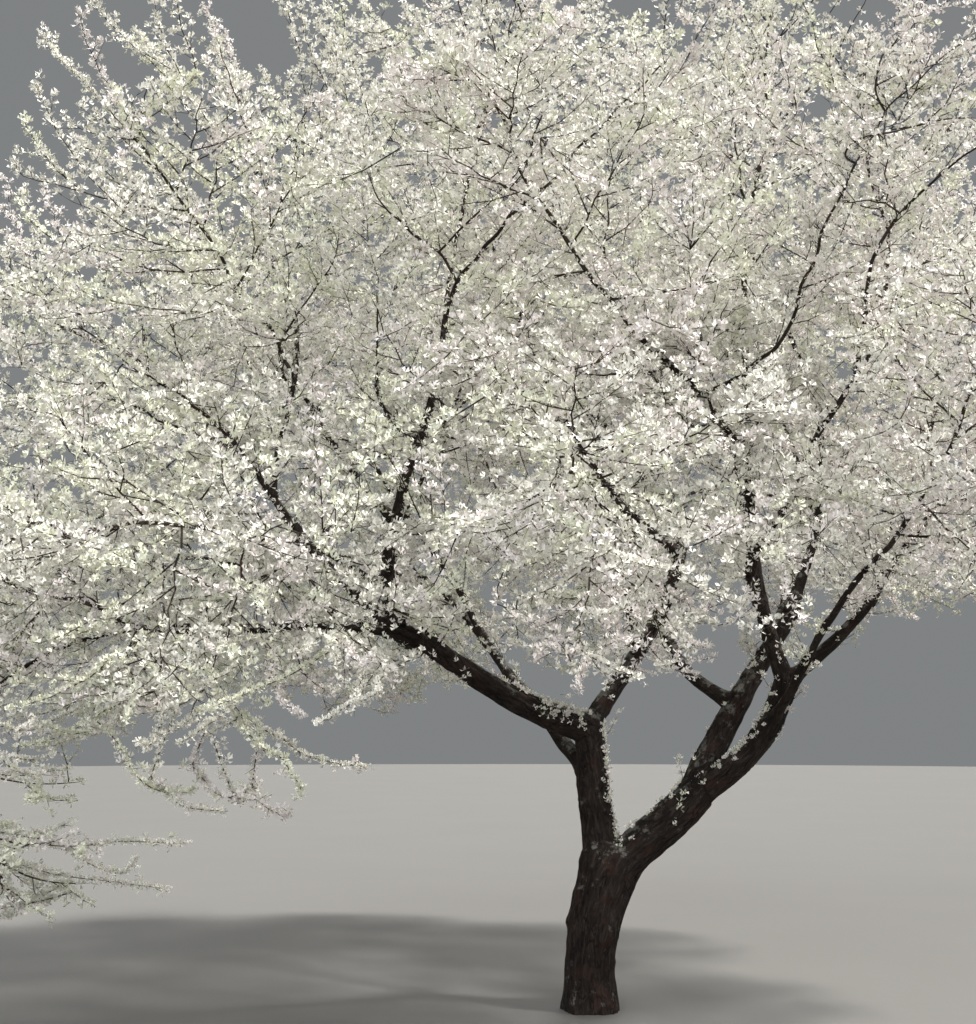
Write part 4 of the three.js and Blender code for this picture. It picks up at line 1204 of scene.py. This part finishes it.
# Strings that stand clear of the crown: y, then x and z of the foot and the tip, and how steep they
# are there, in degrees from +X.
clearStrings = dict(
    hanging=[
        (-2.0, (-2.29, 1.61), (-1.82, 1.29), -51, 16), (-2.0, (-2.03, 1.33), (-1.71, 1.19), -37, -5),
        (-2.2, (-1.79, 1.43), (-1.48, 1.28), -110, 39), (-2.2, (-1.61, 1.26), (-1.58, 1.32), -2, 163),
        (-2.1, (-1.57, 1.34), (-1.41, 1.2), -98, 44), (-2.3, (-1.5, 1.49), (-1.34, 1.26), -55, -133),
        (-2.0, (-1.43, 1.51), (-1.1, 1.39), -85, -28), (-1.8, (-2.84, 1.48), (-2.52, 1.44), -53, 11),
        (-1.8, (-2.79, 1.46), (-2.56, 1.35), -29, 26), (-1.9, (-2.79, 1.61), (-2.55, 1.6), -44, 44),
        (-1.45, (-3.13, 1.12), (-2.52, 1.14), -14, 36), (-1.55, (-3.0, 1.11), (-1.96, 1.04), -13, 4),
        (-1.5, (-2.73, 1.01), (-2.16, 0.97), 18, 66), (-1.45, (-3.07, 0.96), (-2.06, 0.82), -7, -2),
        (-1.35, (-3.15, 0.9), (-2.81, 0.68), -3, 199),
    ],
    feathered=[
        (-0.5, (-2.53, 4.77), (-3.14, 5.49), 129, 136), (-0.4, (-2.18, 5.0), (-2.62, 5.56), 130, 143),
        (-0.6, (-2.55, 4.59), (-2.86, 4.8), 129, 141), (0.1, (-2.11, 5.39), (-2.31, 5.92), 118, 115),
    ],
)
# how many twiglets beside a spray's, how long at most, and how far they turn up
clearTwigs = dict(hanging=(0.8, 0.055, 0.2), feathered=(1.6, 0.12, 0.6))


def growClearStrings():
    kind = twigKinds["string"]
    carriers = treeOf(placesOn("stem", "twig", "spray"))
    rows = [(looks, *row) for looks, plans in clearStrings.items() for row in plans]
    share = np.linspace(0, 1, kind["knots"])
    for key, (looks, y, foot, tip, leaves, arrives) in enumerate(rows):
        foot, tip = (np.array((x, y, z)) for x, z in (foot, tip))
        curve = curveBetween(foot, toward((0, leaves)), toward((0, arrives)), tip)
        sway = kind["sway"], kind["swayDeep"], kind["sway"]
        places = pointOn(curve, share) + wander(share * kind["waves"], key, kind["seed"]) * sway
        places = np.concatenate((np.array([carriers.find(foot)[0]]), places))
        paths = smoothLine(places, kind["points"])[None]
        groups = nearestGroup(paths[:, kind["points"] // 2])
        radii = endRadii(1, strings["foot"], strings["tip"])
        addWood("string", (paths, radii), tintsAt(paths[:, 0]), groups)
        many, longest, lift = clearTwigs[looks]
        lines, which = growTwiglets(paths, lengthOf(paths) * many, lift, longest)
        addWood("twiglet", lines, tintsAt(lines[0][:, 0]), groups[which])


hangDroops()
raiseWisps()
growClearStrings()
print("strings of blossom grown")

# Where blossom begins on the limbs that stay bare lower down, and on all the others.
bareUpTo = dict(
    left_limb=0.97, right_limb=0.97, left_bough=0.55, mid_rise=0.45, inner_limb=0.6, outer_limb=0.75,
    right_rise=0.25, left_low_bough=0.25, front_right_bough=0.35, right_bough=0.2, back_bough=0.4,
    back_left_bough=0.4, left_back_bough=0.4, left_hanging_bough=0.2, others=0.15,
)
# Strings of blossom straight on the old bark: the limb, its span, the side they face, and how many.
barkStrings = [
    ("left_limb", (0.1, 1.0), (1, -0.45, 0), 60), ("left_limb", (0.3, 1.0), (-0.6, 0.8, 0.3), 14),
    ("right_limb", (0.0, 0.3), (-0.7, -0.5, 0.6), 14), ("right_limb", (0.3, 1.0), (0, -0.3, 1), 14),
    ("left_bough", (0.02, 0.4), (0, -0.5, 1), 50), ("left_bough", (0.05, 0.3), (0, -1, 0.5), 34),
    ("left_bough", (0.3, 1.0), (0, -0.3, 1), 26), ("inner_limb", (0.1, 1.0), (-1, -0.4, 0.4), 12),
    ("outer_limb", (0.05, 1.0), (-0.9, -0.5, 0.5), 46), ("outer_limb", (0.5, 1.0), (1, -0.5, 0.1), 6),
    ("mid_rise", (0.1, 1.0), (0.4, -0.8, 0.4), 22), ("right_rise", (0.0, 1.0), (-0.2, -1, 0.2), 16),
]


# Shoots straight on the boughs that carry twiglets like any spray, inside the crown.
def growShoots():
    rows, foot = [], growth["shootFoot"]
    for name in limbPlan:
        limb, low = limbs[name], bareUpTo.get(name, bareUpTo["others"])
        count = int(limb["length"] * (1 - low) / growth["shootStep"])
        share = between(low, 1.0, count)
        places = pointOn(limb["curve"], share)
        ways = anyWayOff(tangentOn(limb["curve"], share), growth["shootAngle"])
        reach = between(*growth["shootLength"], count) * (foot + (1 - foot) * (share - low) / (1 - low))
        others = np.concatenate([part for key, part in bits.items() if key not in (name, limb["on"])])
        rows.append(picked(allClearOf(others, places, ways, reach), places, ways, reach))
    roots, ways, lengths = stacked(rows)
    addSprays(roots, ways, lengths, nearestGroup(roots))
    print(" ", len(roots), "shoots on the boughs")


# Places on a limb's bark on the given sides, with the limb's direction there and the sides.
def onBark(limb, share, out):
    places = pointOn(limb["curve"], share) + out * limbRadius(limb, share)[:, None]
    return places, tangentOn(limb["curve"], share), out


# Short spurs straight on the boughs, and clusters on their bark.
def growSpurs():
    lines, clusters = [], []
    for name in limbPlan:
        limb = limbs[name]
        low, high = growth["thickSpan"] if name in oldWood["limbs"] else growth["spurSpan"]
        count = int(limb["length"] * (high - low) / growth["spurStep"])
        share = between(low, high, count)
        places = pointOn(limb["curve"], share)
        ways = anyWayOff(tangentOn(limb["curve"], share), growth["spurAngle"])
        reach = between(*growth["spurLength"], count) + limbRadius(limb, share)
        lines.append((places, places + ways * reach[:, None]))
        count = int(limb["length"] * (high - low) / growth["barkStep"])
        share = between(low, high, count)
        ways = standOff(tangentOn(limb["curve"], share), share * 0 + 90, between(0, 360, count))
        clusters.append(onBark(limb, share, ways))
    for name, span, side, count in barkStrings:
        share = np.clip(between(*span, count), 0, 1)
        along = tangentOn(limbs[name]["curve"], share)
        side = np.array(side) + rng.normal(0, growth["barkLoose"], (count, 3))
        clusters.append(onBark(limbs[name], share, unit(side - dot(side, along) * along)))
    starts, ends = stacked(lines)
    paths = bentPaths(starts, ends, twigKinds["spur"])
    radii = endRadii(len(paths), growth["spurFoot"], growth["spurTip"])
    addWood("spur", (paths, radii), tintsAt(starts), nearestGroup(starts))
    return stacked(clusters)


growShoots()
barkPlaces, barkAlong, barkOut = growSpurs()
print("spurs grown")

# The camera: where it stands, how far it looks up in degrees, and its lens.
view = dict(eye=(-0.5645, -8.6, 1.6), tilt=7.83, lens=52.73)

# Wood that shows dark through gaps in the blossom, seen from the front: the span of each limb, and the
# share of flowers in front of it that stay.
shownWood = dict(
    left_rise=(0.15, 1.0, 0.1), left_reach=(0.4, 1.0, 0.2), left_top_bough=(0.2, 0.9, 0.25),
    left_low_bough=(0.25, 0.85, 0.3), left_bough=(0.35, 1.0, 0.25), mid_arch=(0.05, 1.0, 0.1),
    front_arch=(0.15, 1.0, 0.1), right_rise=(0.3, 0.75, 0.2), inner_rise=(0.0, 0.85, 0.25),
    inner_limb=(0.75, 1.0, 0.25), right_bough=(0.1, 0.8, 0.4), mid_rise=(0.4, 0.9, 0.4),
)
sightGap = dict(samples=200, beside=0.007, patch=0.12, seed=5, covered=0.14, reaches=0.12,
                reachCovered=0.42)


# Places as the camera at the eye sees them: across, up, and how deep.
def seenAt(places):
    off = places - view["eye"]
    return np.column_stack((off[:, 0] / off[:, 1], off[:, 2] / off[:, 1], off[:, 1] * 0)), off[:, 1]


def findShownWood():
    plan, rows = sightGap, []
    for name, (low, high, keep) in shownWood.items():
        share = np.linspace(low, high, plan["samples"])
        rows.append((pointOn(limbs[name]["curve"], share), limbRadius(limbs[name], share),
                     share * 0 + keep, share * 0 + plan["covered"]))
    share = np.linspace(0, 1, plan["samples"])
    for name, path in reachLines.items():
        knots = np.linspace(0, 1, len(path))
        places = np.column_stack([np.interp(share, knots, path[:, k]) for k in range(3)])
        rows.append((places, mix(*reachPlan[name]["across"], share) / 2,
                     share * 0 + plan["reaches"], share * 0 + plan["reachCovered"]))
    places, radii, keep, covered = stacked(rows)
    bare = noiseAt(places / plan["patch"], plan["seed"]) < covered
    places, radii, keep = picked(bare, places, radii, keep)
    seen, depth = seenAt(places)
    return treeOf(seen), (radii + plan["beside"]) / depth, depth, keep


shownTree, shownWidth, shownDepth, shownKeep = findShownWood()


# False for most flowers that stand in front of that wood.
def clearOfSight(places):
    seen, depth = seenAt(places)
    nearest, far = columns(shownTree.find(spot)[1:] for spot in seen)
    hiding = (far < shownWidth[nearest]) & (depth < shownDepth[nearest])
    return ~hiding | (rng.random(len(places)) < shownKeep[nearest])


# Flowers: a notched banner and a keel each, in clusters round the wood.
flowers = dict(
    perCluster=3, size=(0.0198, 0.0268), off=(0.002, 0.011), scatter=0.011, bark=1.3, barkSize=0.8,
    alongTurn=(-0.35, 0.8), rise=0.25, loose=0.4, tilt=0.5, uneven=0.5,
    calyx=(0.0036, 0.01), calyxShare=0.18, calyxSink=0.001,
)
# forward, up and sideways, as shares of the flower's size
flowerPoints = np.array([
    (0, 0, 0), (0.08, 0.58, -0.7), (0.32, 1.12, -0.24), (0.32, 1.12, 0.24), (0.08, 0.58, 0.7),
    (0.95, -0.04, -0.36), (1.02, 0.14, 0.36),
])
flowerFaces = np.array([(0, 2, 1), (0, 4, 3), (0, 5, 6)])
calyxPoints = np.array([(0, -1, -0.58), (0, 1, -0.58), (0, 0, 1.15), (1, 0, 0)])
calyxFaces = np.array([(0, 1, 3), (1, 2, 3), (2, 0, 3), (0, 2, 1)])


# Clusters along every line of a part: places, directions, radii, tints, groups, and how big.
def clustersAlong(kind, part):
    plan, paths = twigKinds[kind], part["paths"]
    counts = np.maximum(1, np.round(lengthOf(paths) / plan["spacing"])).astype(int)
    which, nth = numbered(counts)
    share = plan["bare"] + (1 - plan["bare"]) * (nth + between(0.3, 1.0, len(which))) / counts[which]
    radius = mix(*part["radii"][which].T, share)
    bloom = np.full(len(which), plan.get("bloom", 1.0))
    return *alongPaths(paths, which, share), radius, part["tints"][which], part["groups"][which], bloom


# The places, axes, tints and groups of all flowers, and of all calyxes.
def makeBlossom():
    plan = flowers
    rows = [clustersAlong(kind, part) for kind in wood for part in wood[kind]]
    flat = np.zeros(len(barkPlaces))
    rows.append((barkPlaces, barkAlong, flat, tintsAt(barkPlaces), nearestGroup(barkPlaces),
                 flat + plan["barkSize"]))
    places, along, radius, tints, groups, bloom = stacked(rows)
    facing = np.zeros_like(places)
    facing[-len(flat):] = barkOut * plan["bark"]
    count = len(places)
    print(" ", count, "clusters")
    side = squareTo(along)
    depth = np.cross(along, side)
    start = between(0, 2 * math.pi, count)

    def radialAt(turn):
        return unit(side * np.cos(turn)[:, None] + depth * np.sin(turn)[:, None] + facing)

    rows = []
    uneven = plan["uneven"]
    for j in range(plan["perCluster"]):
        turn = start + j * 2 * math.pi / plan["perCluster"] + between(-uneven, uneven, count)
        radial = radialAt(turn)
        spot = places + radial * (radius + between(*plan["off"], count) * bloom)[:, None]
        spot += along * rng.normal(0, plan["scatter"], (count, 1))
        forward = radial + along * between(*plan["alongTurn"], count)[:, None] + up * plan["rise"]
        forward = unit(forward + rng.normal(0, plan["loose"], (count, 3)))
        lift = up + rng.normal(0, plan["tilt"], (count, 3))
        lift = unit(lift - dot(lift, forward) * forward)
        size = between(*plan["size"], count) * bloom
        axes = np.stack((forward, lift, np.cross(forward, lift)), 1) * size[:, None, None]
        rows.append(picked(clearOfSight(spot + forward * size[:, None] / 2), spot, axes, tints, groups))
    radial = radialAt(start)
    wide, high = plan["calyx"]
    across = unit(np.cross(radial, along))
    axes = np.stack((radial * high, across * wide, np.cross(radial, across) * wide), 1)
    keep = (rng.random(count) < plan["calyxShare"]) & clearOfSight(places)
    spot = places + radial * (radius - plan["calyxSink"])[:, None]
    return stacked(rows), picked(keep, spot, axes, tints, groups)


# Copies of a small shape as a piece, one in each frame of axes, whose lengths are its sizes.
def placeCopies(name, shape, faces, places, axes, look, nodes):
    points = places[:, None] + np.einsum("pk,nkc->npc", shape, axes)
    index = faces[None] + (np.arange(len(places)) * len(shape))[:, None, None]
    placePiece(meshFrom(name, points.reshape(-1, 3), [index.reshape(-1, 3)]), look, nodes)


petals, calyxes = makeBlossom()
for group, (side, names) in enumerate(crownParts.items()):
    nodes = ["blossom_" + name for name in names]
    parts = []
    for kind, plan in twigKinds.items():
        for part in wood[kind]:
            paths, radii = picked(part["groups"] == group, part["paths"], part["radii"])
            if len(paths):
                girth = mix(radii[:, :1], radii[:, 1:], np.linspace(0, 1, plan["points"]))
                parts.append(tubesOf(ringsOf(paths, girth, plan["sides"]), pointed=True))
    placePiece(meshFrom("twigs_" + side, *joined(parts), smooth=True), twigBark, nodes)
    for tint, (name, look) in enumerate(petalLooks.items()):
        places, axes, tints, groups = petals
        places, axes = picked((groups == group) & (tints == tint), places, axes)
        placeCopies(f"petals_{side}_{name}", flowerPoints, flowerFaces, places, axes, look, nodes)
    places, axes, tints, groups = calyxes
    places, axes = picked(groups == group, places, axes)
    placeCopies("calyxes_" + side, calyxPoints, calyxFaces, places, axes, calyxLook, nodes)
    print("crown,", side, "done")

# The floor, the light and the camera.
studio = dict(
    floorSize=45.0, floorSides=64, floorNoise=0.6, floorRoughness=0.9,
    floor=(0.165, 0.163, 0.157, 1), floorAlt=(0.182, 0.18, 0.173, 1),
    world=(0.215, 0.224, 0.229, 1), worldStrength=1.0,
)
# strength, color, how soft in degrees, and where the light comes from
suns = dict(
    key=(5.15, (1.0, 0.96, 0.90), 7, (0.5, -0.22, 0.8)),
    frontFill=(1.7, (0.96, 0.97, 1.0), 50, (-0.25, -0.85, 0.55)),
    backFill=(1.35, (1.0, 0.98, 0.95), 50, (0.1, 0.9, 0.5)),
)


def makeFloor():
    angle = anglesOf(studio["floorSides"])
    rim = np.column_stack((np.cos(angle), np.sin(angle), angle * 0)) * studio["floorSize"]
    floor = addObject("floor", meshFrom("floor", rim, [np.arange(len(rim))[None]]))
    material = bpy.data.materials.new("floorPaint")
    material.use_nodes = True
    tree = material.node_tree
    shade = noise(tree, addNode(tree, "TexCoord")["Object"], studio["floorNoise"])
    color = mixColors(tree, shade, studio["floor"], studio["floorAlt"])
    shader = tree.nodes["Principled BSDF"].inputs
    tree.links.new(color, shader["Base Color"])
    shader["Roughness"].default_value = studio["floorRoughness"]
    floor.data.materials.append(material)


def makeLight():
    world = bpy.data.worlds.new("studio")
    world.use_nodes = True
    world.node_tree.nodes["Background"].inputs[0].default_value = studio["world"]
    world.node_tree.nodes["Background"].inputs[1].default_value = studio["worldStrength"]
    bpy.context.scene.world = world
    for name, (strength, color, soft, (x, y, z)) in suns.items():
        sun = bpy.data.lights.new(name, "SUN")
        sun.energy, sun.color, sun.angle = strength, color, math.radians(soft)
        turn = math.atan2(y, x) + math.pi / 2
        addObject(name, sun).rotation_euler = (math.atan2(math.hypot(x, y), z), 0, turn)


def makeCamera():
    lens = bpy.data.cameras.new("camera")
    lens.lens, lens.sensor_width = view["lens"], 36
    camera = addObject("camera", lens)
    camera.location = view["eye"]
    camera.rotation_euler = (math.radians(90 + view["tilt"]), 0, 0)
    bpy.context.scene.camera = camera


makeFloor()
makeLight()
makeCamera()
bpy.context.scene.view_settings.view_transform = "Standard"
print("studio set")
